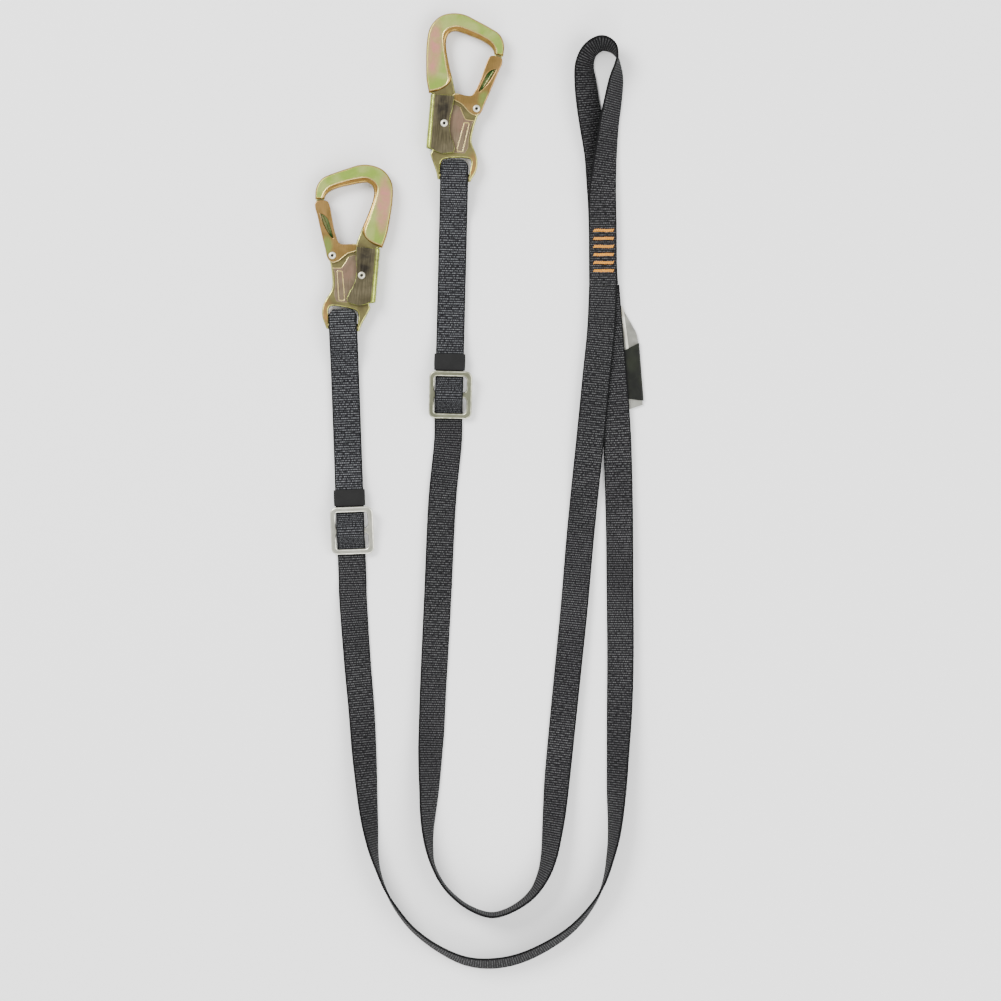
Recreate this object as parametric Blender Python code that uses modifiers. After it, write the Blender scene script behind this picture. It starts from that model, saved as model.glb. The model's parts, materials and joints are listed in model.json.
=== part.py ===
"""Twin-leg webbing lanyard: a sewn end loop, two legs with slide buckles, and two double-action hooks.

It lies flat on a surface at z = 0, with the hooks and the loop towards +Y. Metres, +Z up.
"""

import math

import bmesh
import bpy
from mathutils import Matrix, Vector

# ---- Driving dimensions ----
WEB_WIDTH = 0.025
WEB_THICK = 0.0024
GAP = 0.0003  # between pieces that touch
RIBBON_STEP = 0.020  # between the sections of a lying web

TACK_LENGTH = 0.018
TACK_WIDTH = 0.0030
TACK_THICK = 0.0009
TACK_PITCH = 0.0072
TACK_COUNT = 6
JOINT_X = 0.1108
JOINT_TOP_Y = 0.0480  # the first tack of the joint

LABEL_THICK = 0.0008
LABEL_COVER_LENGTH = 0.052
LABEL_COVER_WIDTH = 0.0284
LABEL_COVER_WALL = 0.0008
LABEL_LEAN = math.radians(4.5)
LABEL_COVER_CENTRE = (0.1306, -0.0792)
LABEL_END = 0.010  # the strip past each end of its cover
LABEL_TAIL_WIDTH = 0.014  # of the part that is sewn in under the joint
LABEL_NECK = (0.1262, -0.0185)  # right edge of the strip, halfway between the joint and the cover

BUCKLE_LENGTH = 0.043
BUCKLE_SIDE = 0.0050  # width of each side bar
BUCKLE_BAR = 0.0048  # width of each cross bar
BUCKLE_THICK = 0.0030
BUCKLE_ROOM = 0.0035  # side play of the web in the buckle
BUCKLE_SHIFT = 0.0014  # the web lies towards one side of the buckle

KEEPER_LENGTH = 0.0145
KEEPER_WALL = 0.0012

PLATE_THICK = 0.0070
BOW_THICK = 0.0110
SHEET_GATE = 0.0018
SHEET_LEVER = 0.0014
EYE_BAR_RADIUS = 0.0034
EYE_SIDE_PLAY = 0.0017
STRAP_SLACK = 0.0095  # how far the strap's loop stands off the eye's bar

RIVET_RADIUS = 0.0026
RIVET_HEAD_RADIUS = 0.0033
RIVET_HEAD_HEIGHT = 0.0012
SPRING_WIRE = 0.0009
SPRING_TURNS = 3
SPRING_POCKET = 0.0049  # radius of the pocket round the rivet

GATE_PIVOT = (0.0147, 0.0621)
LEVER_PIVOT = (-0.0129, 0.0466)

# Each side: where its buckle's middle bar is, how its strap turns from +Y, the length from that bar to the
# bar of the hook's eye, how the hook turns from +Y, and whether the hook is turned over.
SIDES = {
    "a": dict(slide=(-0.0273, -0.0988), turn=-1.4, strap=0.1943, hook_turn=-4.9, over=False),
    "b": dict(slide=(-0.1151, -0.2200), turn=2.1, strap=0.1822, hook_turn=-4.9, over=True),
}

# Webs that lie on the surface: x, y in metres, degrees that the outer edge is raised, and the height of the
# web's underside over the surface.
LOOP_ROUTE = [
    (0.1114, -0.0007, 0, 0.0025), (0.1103, 0.0198, 0, 0.0025), (0.1101, 0.0439, 0, 0.0025),
    (0.1094, 0.0680, 2, 0.0016), (0.1081, 0.0886, 6, 0.0), (0.1054, 0.1154, 18, 0.0),
    (0.1000, 0.1431, 28, 0.0), (0.0969, 0.1609, 32, 0.0), (0.0947, 0.1788, 37, 0.0),
    (0.0936, 0.1949, 48, 0.0), (0.0982, 0.2078, 57, 0.0), (0.1085, 0.2147, 62, 0.0),
    (0.1179, 0.2114, 72, 0.0), (0.1228, 0.2033, 90, 0.0), (0.1233, 0.1949, 103, 0.0),
    (0.1226, 0.1868, 115, 0.0), (0.1213, 0.1779, 123, 0.0), (0.1186, 0.1609, 130, 0.0),
    (0.1156, 0.1431, 135, 0.0003), (0.1130, 0.1198, 142, 0.0014), (0.1112, 0.1020, 152, 0.0026),
    (0.1100, 0.0841, 164, 0.0038), (0.1098, 0.0663, 174, 0.0048), (0.1101, 0.0439, 180, 0.0052),
    (0.1102, 0.0198, 180, 0.0052), (0.1103, -0.0007, 180, 0.0052),
]
LEG_A_ROUTE = [
    (0.1103, -0.0013, 0, 0.0052), (0.1085, -0.0409, 0, 0.0063), (0.1049, -0.0766, 0, 0.0064),
    (0.1014, -0.1123, 0, 0.0064), (0.0978, -0.1481, 1, 0.0058), (0.0906, -0.2195, 8, 0.0),
    (0.0844, -0.2909, 14, 0.0), (0.0772, -0.3624, 18, 0.0), (0.0701, -0.4338, 24, 0.0),
    (0.0670, -0.4695, 35, 0.0), (0.0647, -0.4910, 46, 0.0), (0.0621, -0.5097, 56, 0.0),
    (0.0572, -0.5267, 67, 0.0), (0.0473, -0.5437, 78, 0.0), (0.0308, -0.5566, 84, 0.0),
    (0.0112, -0.5628, 86, 0.0), (-0.0085, -0.5566, 88, 0.0), (-0.0246, -0.5446, 89, 0.0),
    (-0.0348, -0.5320, 89, 0.0), (-0.0415, -0.5178, 87, 0.0), (-0.0446, -0.5035, 78, 0.0),
    (-0.0460, -0.4874, 68, 0.0), (-0.0458, -0.4695, 56, 0.0), (-0.0449, -0.4517, 47, 0.0),
    (-0.0444, -0.4338, 38, 0.0), (-0.0438, -0.4160, 30, 0.0), (-0.0429, -0.3981, 24, 0.0),
    (-0.0415, -0.3624, 20, 0.0), (-0.0397, -0.3267, 16, 0.0), (-0.0371, -0.2731, 12, 0.0),
    (-0.0348, -0.2195, 8, 0.0), (-0.0332, -0.1838, 5, 0.0), (-0.0316, -0.1560, 2, 0.0),
]
LEG_B_ROUTE = [
    (0.1124, -0.0013, 0, 0.0025), (0.1153, -0.0364, 0, 0.0035), (0.1188, -0.0784, 0, 0.0036),
    (0.1212, -0.1079, 0, 0.0036), (0.1231, -0.1391, 0, 0.0036), (0.1242, -0.1748, 6, 0.0018),
    (0.1251, -0.2195, 14, 0.0), (0.1255, -0.2731, 17, 0.0), (0.1259, -0.3267, 19, 0.0),
    (0.1253, -0.3713, 24, 0.0), (0.1237, -0.4160, 38, 0.0), (0.1223, -0.4517, 48, 0.0),
    (0.1206, -0.4856, 64, 0.0), (0.1174, -0.5079, 76, 0.0), (0.1116, -0.5320, 88, 0.0),
    (0.1022, -0.5517, 98, 0.0), (0.0844, -0.5731, 106, 0.0), (0.0621, -0.5892, 111, 0.0),
    (0.0362, -0.6013, 114, 0.0), (0.0112, -0.6060, 115, 0.0), (-0.0129, -0.6035, 111, 0.0),
    (-0.0371, -0.5923, 105, 0.0), (-0.0585, -0.5763, 101, 0.0), (-0.0737, -0.5579, 98, 0.0),
    (-0.0839, -0.5401, 92, 0.0), (-0.0905, -0.5222, 86, 0.0), (-0.0946, -0.5044, 73, 0.0),
    (-0.0971, -0.4865, 60, 0.0), (-0.0990, -0.4695, 51, 0.0), (-0.1005, -0.4517, 44, 0.0),
    (-0.1018, -0.4338, 37, 0.0), (-0.1031, -0.4160, 30, 0.0), (-0.1054, -0.3802, 23, 0.0),
    (-0.1085, -0.3445, 19, 0.0), (-0.1112, -0.3088, 14, 0.0), (-0.1132, -0.2775, 6, 0.0),
]
LEG_END_SECTIONS = 6  # sections of each leg that belong to the stretch by the buckle
LEG_END_GAP = 0.0010  # before and after that stretch, whose neighbours meet it on a slant

# ---- Sizes that follow from them ----
LAYER = WEB_THICK + GAP
LABEL_LOW = LABEL_COVER_WALL + 2 * GAP  # underside of the label strip
PLATE_HALF = PLATE_THICK / 2
GATE_INNER = PLATE_HALF + GAP
GATE_OUTER = GATE_INNER + SHEET_GATE
LEVER_INNER = max(GATE_OUTER, BOW_THICK / 2) + GAP + 0.0001
LEVER_OUTER = LEVER_INNER + SHEET_LEVER
HOOK_HEIGHT = LEVER_OUTER + RIVET_HEAD_HEIGHT + 2 * GAP  # of the hook's middle plane
EYE_HALF = WEB_WIDTH / 2 + EYE_SIDE_PLAY
POCKET_DEPTH = PLATE_HALF + 0.0005

BACK_Z = KEEPER_WALL + GAP + WEB_THICK / 2  # middles of the three layers inside the keeper
TAIL_Z = BACK_Z + LAYER
FRONT_Z = TAIL_Z + LAYER
BUCKLE_WIDTH = WEB_WIDTH + BUCKLE_ROOM + 2 * BUCKLE_SIDE
BAR_REACH = (BUCKLE_LENGTH - BUCKLE_BAR) / 2  # from the middle bar to each end bar
TOP_UNDER = FRONT_Z + WEB_THICK / 2 + GAP
LOW_UNDER = WEB_THICK + 2 * GAP
BUCKLE_TILT = math.asin((TOP_UNDER - LOW_UNDER) / (2 * BAR_REACH))
BUCKLE_Z = (TOP_UNDER + LOW_UNDER) / 2 + BUCKLE_THICK / 2 + BUCKLE_BAR / 2 * math.sin(BUCKLE_TILT) + GAP
WRAP_RADIUS = math.hypot(BUCKLE_BAR, BUCKLE_THICK) / 2 + GAP + WEB_THICK / 2
OVER_RADIUS = WRAP_RADIUS + LAYER
KEEPER_START = BUCKLE_LENGTH / 2 + 2 * GAP
KEEPER_END = KEEPER_START + KEEPER_LENGTH
SEAM = KEEPER_START + KEEPER_LENGTH / 2  # where the hook strap meets the webs of the buckle
UNDER_BAR = -BAR_REACH  # where the leg ends, under the lowest bar


# ---- Helpers ----
def clear_scene():
    """Remove every object of the scene."""
    for obj in list(bpy.data.objects):
        bpy.data.objects.remove(obj)


def collection(name):
    """Return a new collection in the scene."""
    made = bpy.data.collections.new(name)
    bpy.context.scene.collection.children.link(made)
    return made


def finish(name, colour, roughness, metallic=0.0):
    """Return a Principled material."""
    material = bpy.data.materials.new(name)
    material.use_nodes = True
    shader = material.node_tree.nodes["Principled BSDF"]
    shader.inputs["Base Color"].default_value = (*colour, 1.0)
    shader.inputs["Roughness"].default_value = roughness
    shader.inputs["Metallic"].default_value = metallic
    material.diffuse_color = (*colour, 1.0)
    return material


def add(name, data, where, material=None):
    """Link a new object, with its own material, to a collection."""
    obj = bpy.data.objects.new(name, data)
    where.objects.link(obj)
    if material is not None:
        obj.data.materials.clear()
        obj.data.materials.append(material)
    return obj


def guide(obj):
    """Mark an object as a helper that is not part of the model."""
    obj.hide_render = True
    obj.display_type = "WIRE"
    return obj


def solid_mesh(curve, name):
    """Turn a curve into a closed mesh, and remove the curve."""
    helper = add(name + "_curve", curve, helpers)
    bpy.context.view_layer.update()
    evaluated = helper.evaluated_get(bpy.context.evaluated_depsgraph_get())
    mesh = bpy.data.meshes.new_from_object(evaluated)
    mesh.name = name
    bpy.data.objects.remove(helper)
    bm = bmesh.new()
    bm.from_mesh(mesh)
    bmesh.ops.remove_doubles(bm, verts=bm.verts, dist=1e-6)
    bmesh.ops.recalc_face_normals(bm, faces=bm.faces)
    bm.to_mesh(mesh)
    bm.free()
    return mesh


def corner(points, steps=3):
    """Return an outline through (x, y, radius) corners, each rounded by an arc.

    A corner of radius 0 stays sharp.
    """
    outline = []
    for i, (x, y, radius) in enumerate(points):
        here = Vector((x, y))
        before = (Vector(points[i - 1][:2]) - here).normalized()
        after = (Vector(points[(i + 1) % len(points)][:2]) - here).normalized()
        half = before.angle(after) / 2
        if radius == 0 or half > math.radians(88):
            outline.append(here)
            continue
        reach = radius / math.tan(half)
        centre = here + (before + after).normalized() * (radius / math.sin(half))
        start = here + before * reach - centre
        turn = start.angle_signed(here + after * reach - centre)
        count = max(2, round(steps * abs(turn) / (math.pi / 2)) + 1)
        for k in range(count + 1):
            spin = Matrix.Rotation(-turn * k / count, 2)
            outline.append(centre + spin @ start)
    return [(p.x, p.y) for p in outline]


def plate(name, outlines, half, edge=0.0, low=None):
    """Return a flat mesh whose middle plane is XY, from an outline and the outlines of its holes.

    half is half of its thickness, edge the radius of its rims. low, when given, is where its underside is.
    """
    curve = bpy.data.curves.new(name, "CURVE")
    curve.dimensions = "2D"
    curve.fill_mode = "BOTH"
    curve.extrude = half - edge
    curve.bevel_depth = edge
    curve.bevel_resolution = 1
    curve.offset = -edge
    for outline in outlines:
        spline = curve.splines.new("POLY")
        spline.points.add(len(outline) - 1)
        for point, (x, y) in zip(spline.points, outline):
            point.co = (x, y, 0.0, 1.0)
        spline.use_cyclic_u = True
    mesh = solid_mesh(curve, name)
    if low is not None:
        mesh.transform(Matrix.Translation((0, 0, low + half)))
    return mesh


def box_outline(width, length, radius=0.0, x=0.0, y=0.0):
    """Return a rectangle with rounded corners."""
    right, top = width / 2, length / 2
    corners = [(x + sx * right, y + sy * top, radius) for sx, sy in ((-1, -1), (1, -1), (1, 1), (-1, 1))]
    return corner(corners)


def combine(mesh, others, operation):
    """Return mesh after Boolean operations with others."""
    target = add("work", mesh, helpers)
    tools = []
    for other in others:
        tool = guide(add("tool", other, helpers))
        modifier = target.modifiers.new("Boolean", "BOOLEAN")
        modifier.operation = operation
        modifier.object = tool
        tools.append(tool)
    bpy.context.view_layer.update()
    result = bpy.data.meshes.new_from_object(target.evaluated_get(bpy.context.evaluated_depsgraph_get()))
    for obj in [target, *tools]:
        bpy.data.objects.remove(obj)
    return result


def cylinder(radius, low, high, x=0.0, y=0.0, sides=24):
    """Return an upright cylinder mesh between two heights."""
    bm = bmesh.new()
    place = Matrix.Translation((x, y, (low + high) / 2))
    bmesh.ops.create_cone(
        bm, cap_ends=True, segments=sides, radius1=radius, radius2=radius, depth=high - low, matrix=place
    )
    mesh = bpy.data.meshes.new("cylinder")
    bm.to_mesh(mesh)
    bm.free()
    return mesh


def smooth_route(route, step):
    """Return points about step apart on a smooth curve through the route's points.

    Args:
        route: rows of x, y, lean in degrees and underside height.
        step: distance between the points in metres.
    """
    rows = [Vector(row) for row in route]
    rows = [2 * rows[0] - rows[1], *rows, 2 * rows[-1] - rows[-2]]
    fine = []
    for a, b, c, d in zip(rows, rows[1:], rows[2:], rows[3:]):
        for k in range(12):
            t = k / 12
            fine.append(
                0.5 * (2 * b + (c - a) * t + (2 * a - 5 * b + 4 * c - d) * t * t + (3 * b - a - 3 * c + d) * t**3)
            )
    fine.append(rows[-2])
    lengths = [0.0]
    for p, q in zip(fine, fine[1:]):
        lengths.append(lengths[-1] + (q.xy - p.xy).length)
    count = max(2, round(lengths[-1] / step))
    picked = []
    j = 0
    for k in range(count + 1):
        want = lengths[-1] * k / count
        while j < len(fine) - 2 and lengths[j + 1] < want:
            j += 1
        span = lengths[j + 1] - lengths[j]
        picked.append(fine[j].lerp(fine[j + 1], (want - lengths[j]) / span))
    return picked


def web_section():
    """Return the hidden curve that is the section of a lying web."""
    curve = bpy.data.curves.new("web_section", "CURVE")
    curve.dimensions = "2D"
    curve.fill_mode = "NONE"
    spline = curve.splines.new("POLY")
    outline = box_outline(WEB_WIDTH, WEB_THICK)
    spline.points.add(len(outline) - 1)
    for point, (x, y) in zip(spline.points, outline):
        point.co = (x, y, 0.0, 1.0)
    spline.use_cyclic_u = True
    return guide(add("web_section", curve, helpers))


def ribbon(name, sections, section, material):
    """Add a web that follows sections (x, y, lean in degrees, underside height)."""
    curve = bpy.data.curves.new(name, "CURVE")
    curve.dimensions = "3D"
    curve.twist_mode = "Z_UP"
    curve.bevel_mode = "OBJECT"
    curve.bevel_object = section
    curve.use_fill_caps = True
    spline = curve.splines.new("POLY")
    spline.points.add(len(sections) - 1)
    for point, (x, y, lean, low) in zip(spline.points, sections):
        angle = math.radians(lean)
        height = low + WEB_WIDTH / 2 * abs(math.sin(angle)) + WEB_THICK / 2 * abs(math.cos(angle))
        point.co = (x, y, height, 1.0)
        point.tilt = angle
    return add(name, solid_mesh(curve, name), parts, material)


def flow(start, out, end, into, pull=0.45, count=5):
    """Return points of a smooth bend from start to end, both left out, with headings out and into in degrees."""
    a, d = Vector(start), Vector(end)
    reach = (d - a).length * pull
    b = a + reach * Vector((math.cos(math.radians(out)), math.sin(math.radians(out))))
    c = d - reach * Vector((math.cos(math.radians(into)), math.sin(math.radians(into))))
    points = []
    for k in range(1, count):
        t = k / count
        points.append((1 - t) ** 3 * a + 3 * t * (1 - t) ** 2 * b + 3 * t * t * (1 - t) * c + t**3 * d)
    return [tuple(p) for p in points]


def arc(centre, radius, first, last, count):
    """Return points of an arc between two angles in degrees."""
    points = []
    for k in range(count + 1):
        angle = math.radians(first + (last - first) * k / count)
        points.append((centre[0] + radius * math.cos(angle), centre[1] + radius * math.sin(angle)))
    return points


def band(name, line, thickness):
    """Return the mesh of a web seen from its side: line runs in the YZ plane, and the web is as wide as X."""
    points = [Vector(p) for p in line]
    left, right = [], []
    for i, here in enumerate(points):
        before = here - points[i - 1] if i else points[1] - here
        after = points[i + 1] - here if i + 1 < len(points) else before
        heading = (before.normalized() + after.normalized()).normalized()
        normal = Vector((-heading.y, heading.x)) * (thickness / 2) / max(0.5, heading.dot(after.normalized()))
        left.append(here + normal)
        right.append(here - normal)
    outline = [tuple(p) for p in left + right[::-1]]
    mesh = plate(name, [outline], WEB_WIDTH / 2)
    turn = Matrix(((0, 0, 1, 0), (1, 0, 0, 0), (0, 1, 0, 0), (0, 0, 0, 1)))
    mesh.transform(turn)
    return mesh


# ---- Webbing ----
def build_webbing(section):
    """Add the end loop and the two legs."""
    web = finish("webbing", (0.020, 0.020, 0.022), 0.75)
    ribbon("end_loop", smooth_route(LOOP_ROUTE, RIBBON_STEP / 2), section, web)
    for key, route in (("a", LEG_A_ROUTE), ("b", LEG_B_ROUTE)):
        side = SIDES[key]
        turn = math.radians(side["turn"])
        ends = []
        for reach in (UNDER_BAR - WEB_WIDTH, UNDER_BAR - LEG_END_GAP):
            x = side["slide"][0] - math.sin(turn) * reach
            y = side["slide"][1] + math.cos(turn) * reach
            ends.append((x, y, 0, GAP))
        sections = smooth_route([*route, *ends], RIBBON_STEP)
        cut = len(sections) - LEG_END_SECTIONS
        heading = (sections[cut] - sections[cut - 1]).xy.normalized()
        gap = Vector((*heading * LEG_END_GAP, 0, 0))
        ribbon("leg_" + key, sections[: cut + 1], section, web)
        ribbon("leg_end_" + key, [sections[cut] + gap, *sections[cut + 1 :]], section, web)


def build_joint():
    """Add the bar tacks of the joint."""
    thread = finish("tack_thread", (0.80, 0.36, 0.04), 0.6)
    top = LOOP_ROUTE[-1][3] + WEB_THICK + GAP
    for k in range(TACK_COUNT):
        mesh = plate("tack", [box_outline(TACK_LENGTH, TACK_WIDTH, 0.0008)], TACK_THICK / 2, 0.0, top)
        tack = add(f"joint_tack_{k + 1}", mesh, parts, thread)
        tack.location = (JOINT_X, JOINT_TOP_Y - k * TACK_PITCH, 0)


def strip_outline(centre, width):
    """Return the label strip's outline: a tail under the joint, a neck and the folded packet."""
    along = Vector((-math.sin(LABEL_LEAN), math.cos(LABEL_LEAN)))
    across = Vector((along.y, -along.x))
    half, reach = width / 2, LABEL_COVER_LENGTH / 2 + LABEL_END
    tail = LABEL_TAIL_WIDTH / 2
    low_left = centre - across * half - along * reach
    low_right = centre + across * half - along * reach
    top_right = centre + across * half + along * (reach + 0.001)
    top_left = centre - across * half + along * (reach - 0.012)
    return corner(
        [
            (JOINT_X - tail, JOINT_TOP_Y, 0.0),
            (JOINT_X - tail, 0.0, 0.0),
            (*top_left, 0.003),
            (*low_left, 0.001),
            (*low_right, 0.004),
            (*top_right, 0.004),
            (*LABEL_NECK, 0.004),
            (JOINT_X + tail, 0.0, 0.0),
            (JOINT_X + tail, JOINT_TOP_Y, 0.0),
        ]
    )


def build_label():
    """Add the label strip, which is sewn in under the joint, and its cover."""
    paper = finish("label_print", (0.62, 0.63, 0.62), 0.5)
    film = finish("label_film", (0.012, 0.012, 0.013), 0.4)
    width = LABEL_COVER_WIDTH - 2 * LABEL_COVER_WALL - 2 * GAP
    centre = Vector(LABEL_COVER_CENTRE)
    strip = plate("label_strip", [strip_outline(centre, width)], LABEL_THICK / 2, 0.0, LABEL_LOW)
    add("label_strip", strip, parts, paper)
    high = LABEL_THICK + 2 * GAP
    sleeve = plate(
        "label_cover",
        [
            box_outline(LABEL_COVER_WIDTH, high + 2 * LABEL_COVER_WALL, 0.0006),
            box_outline(LABEL_COVER_WIDTH - 2 * LABEL_COVER_WALL, high),
        ],
        LABEL_COVER_LENGTH / 2,
    )
    sleeve.transform(Matrix.Rotation(math.pi / 2, 4, "X"))
    cover = add("label_cover", sleeve, parts, film)
    cover.location = (*centre, LABEL_LOW + LABEL_THICK / 2)
    cover.rotation_euler = (0, 0, LABEL_LEAN)


# ---- Buckles ----
def build_slide(key, frame):
    """Add a buckle and the webs that are threaded through it."""
    web = bpy.data.materials["webbing"]
    steel = finish("buckle_steel_" + key, (0.50, 0.49, 0.46), 0.35, 1.0)
    sleeve = finish("keeper_rubber_" + key, (0.010, 0.010, 0.010), 0.6)
    middle = (0.0, BUCKLE_Z)
    land = BAR_REACH - BUCKLE_BAR / 2 - 0.0008

    over = arc(middle, OVER_RADIUS, 150, 58, 7)
    running = [
        (UNDER_BAR, GAP + WEB_THICK / 2),
        *flow((UNDER_BAR, GAP + WEB_THICK / 2), 0, over[0], 60),
        *over,
        *flow(over[-1], -32, (land, FRONT_Z), 0),
        (land, FRONT_Z),
        (SEAM, FRONT_Z),
    ]
    wrap = arc(middle, WRAP_RADIUS, 270, 52, 12)
    tail_land = land - 1.5 * WEB_THICK
    sewn = [
        (SEAM, BACK_Z),
        (land, BACK_Z),
        *flow((land, BACK_Z), 180, wrap[0], 180),
        *wrap,
        *flow(wrap[-1], -38, (tail_land, TAIL_Z), 0),
        (tail_land, TAIL_Z),
        (SEAM - 0.002, TAIL_Z),
    ]
    for name, line in (("running_web_", running), ("sewn_end_", sewn)):
        add(name + key, band(name + key, line, WEB_THICK), parts, web).parent = frame

    thread = bpy.data.materials["tack_thread"]
    for k in range(2):
        under = BACK_Z - WEB_THICK / 2 - GAP - TACK_THICK
        mesh = plate("tack", [box_outline(TACK_LENGTH, TACK_WIDTH, 0.0008)], TACK_THICK / 2, 0.0, under)
        tack = add(f"end_tack_{key}_{k + 1}", mesh, parts, thread)
        tack.parent = frame
        tack.location = (0, land - k * 1.7 * TACK_WIDTH, 0)

    window = (BUCKLE_LENGTH - 3 * BUCKLE_BAR) / 2
    outlines = [box_outline(BUCKLE_WIDTH, BUCKLE_LENGTH, 0.0035)]
    for way in (-1, 1):
        hole = box_outline(WEB_WIDTH + BUCKLE_ROOM, window, 0.0015, 0, way * (BUCKLE_BAR + window) / 2)
        outlines.append(hole[::-1])
    buckle = add("buckle_" + key, plate("buckle", outlines, BUCKLE_THICK / 2, 0.0007), parts, steel)
    buckle.parent = frame
    buckle.location = (BUCKLE_SHIFT, 0, BUCKLE_Z)
    buckle.rotation_euler = (BUCKLE_TILT, 0, 0)

    inner_high = 3 * WEB_THICK + 4 * GAP
    inner_wide = WEB_WIDTH + 2 * GAP
    tube = plate(
        "keeper",
        [
            box_outline(inner_wide + 2 * KEEPER_WALL, inner_high + 2 * KEEPER_WALL, 0.0015),
            box_outline(inner_wide, inner_high, 0.0),
        ],
        KEEPER_LENGTH / 2,
    )
    tube.transform(Matrix.Rotation(math.pi / 2, 4, "X"))
    keeper = add("keeper_" + key, tube, parts, sleeve)
    keeper.parent = frame
    keeper.location = (0, (KEEPER_START + KEEPER_END) / 2, KEEPER_WALL + inner_high / 2)


def build_strap(key, side, frame):
    """Add the doubled web between the buckle and the eye of the hook."""
    bar = side["strap"]
    inner = EYE_BAR_RADIUS + 2 * GAP + WEB_THICK / 2
    tip = bar + EYE_BAR_RADIUS + STRAP_SLACK
    front_z, back_z = HOOK_HEIGHT + inner, HOOK_HEIGHT - inner
    lie_back, lie_front = WEB_THICK / 2 + GAP, WEB_THICK * 1.5 + 2 * GAP
    turn_start = bar + EYE_BAR_RADIUS
    line = [
        (SEAM + GAP, FRONT_Z),
        (KEEPER_END, FRONT_Z),
        *flow((KEEPER_END, FRONT_Z), 0, (KEEPER_END + 0.030, lie_front), 0),
        (KEEPER_END + 0.030, lie_front),
        (bar - 0.045, lie_front),
        *flow((bar - 0.045, lie_front), 0, (bar - EYE_BAR_RADIUS, front_z), 0),
        (bar - EYE_BAR_RADIUS, front_z),
        (turn_start, front_z),
        *flow((turn_start, front_z), 0, (tip, HOOK_HEIGHT), -90, 0.5),
        (tip, HOOK_HEIGHT),
        *flow((tip, HOOK_HEIGHT), -90, (turn_start, back_z), 180, 0.5),
        (turn_start, back_z),
        (bar - EYE_BAR_RADIUS, back_z),
        *flow((bar - EYE_BAR_RADIUS, back_z), 180, (bar - 0.022, lie_back), 180, 0.45, 3),
        (bar - 0.022, lie_back),
        (KEEPER_END + 0.020, lie_back),
        *flow((KEEPER_END + 0.020, lie_back), 180, (KEEPER_END, BACK_Z), 180, 0.45, 3),
        (KEEPER_END, BACK_Z),
        (SEAM + GAP, BACK_Z),
    ]
    strap = add("hook_strap_" + key, band("hook_strap", line, WEB_THICK), parts, bpy.data.materials["webbing"])
    strap.parent = frame


# ---- Hook, in its own frame: the eye's bar is on X, the hook's length is along Y ----
def hook_body():
    """Return the mesh of the forged body."""
    bow = plate(
        "bow",
        [
            corner(
                [
                    (-0.0289, 0.0735, 0.0015), (-0.0350, 0.1050, 0.040), (-0.0350, 0.1590, 0.025),
                    (0.0353, 0.1290, 0.009), (0.0332, 0.1064, 0.0012), (0.0256, 0.1096, 0.0012),
                    (0.0272, 0.1196, 0.0065), (-0.0215, 0.1335, 0.008), (-0.0092, 0.0885, 0.004),
                    (-0.0120, 0.0795, 0.005), (-0.0195, 0.0740, 0.004),
                ],
                5,
            )
        ],
        BOW_THICK / 2,
        0.0018,
    )
    eye = EYE_HALF
    limb_end = -EYE_BAR_RADIUS - 0.0006
    web = plate(
        "web",
        [
            corner(
                [
                    (-0.0265, 0.0780, 0.0), (-0.0280, 0.0900, 0.0), (-0.0125, 0.0930, 0.0), (-0.0060, 0.0760, 0.006),
                    (-0.0030, 0.0705, 0.004), (0.0130, 0.0700, 0.004), (0.0220, 0.0690, 0.005),
                    (0.0186, 0.0595, 0.004), (0.0136, 0.0443, 0.020), (0.0124, 0.0340, 0.012),
                    (eye + 0.0062, 0.0200, 0.006), (eye + 0.0060, 0.0070, 0.010),
                    (eye + 0.0036, limb_end, 0.0030),
                    (eye, limb_end, 0.0), (eye, 0.0180, 0.0030), (-eye, 0.0168, 0.0030),
                    (-eye, limb_end, 0.0), (-eye - 0.0036, limb_end, 0.0030),
                    (-eye - 0.0068, 0.0110, 0.010), (-0.0236, 0.0200, 0.0015), (-0.0205, 0.0245, 0.0015),
                    (-0.0226, 0.0300, 0.004),
                ]
            )
        ],
        PLATE_HALF,
        0.0008,
    )
    bar = cylinder(EYE_BAR_RADIUS, -eye - 0.0023, eye + 0.0023)
    bar.transform(Matrix.Rotation(math.pi / 2, 4, "Y"))
    joined = combine(bow, [web, bar], "UNION")
    cuts = []
    for x, y in (GATE_PIVOT, LEVER_PIVOT):
        cuts.append(cylinder(RIVET_RADIUS + GAP, -0.02, 0.02, x, y))
        cuts.append(cylinder(SPRING_POCKET, PLATE_HALF - POCKET_DEPTH, 0.02, x, y, 32))
    return combine(joined, cuts, "DIFFERENCE")


def gate_mesh():
    """Return the gate: two plates that straddle the body, joined by a web along the inner edge."""
    body = plate(
        "gate",
        [
            corner(
                [
                    (0.0220, 0.1083, 0.0012), (0.0333, 0.1050, 0.002), (0.0243, 0.0760, 0.010), (0.0215, 0.0660, 0.006),
                    (0.0200, 0.0556, 0.0055), (0.0088, 0.0556, 0.005), (0.0025, 0.0650, 0.005), (-0.0082, 0.0680, 0.0028),
                    (-0.0082, 0.0744, 0.0028), (0.0092, 0.0728, 0.005), (0.0178, 0.0940, 0.030),
                ]
            )
        ],
        GATE_OUTER,
        0.0006,
    )
    slot = [
        (-0.05, 0.0774), (0.0162, 0.0774), (0.0222, 0.0940), (0.0258, 0.1120), (0.06, 0.1120), (0.06, 0.04), (-0.05, 0.04)
    ]
    shaft = cylinder(RIVET_RADIUS + GAP, -0.02, 0.02, *GATE_PIVOT)
    return combine(body, [plate("slot", [slot], GATE_INNER), shaft], "DIFFERENCE")


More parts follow.
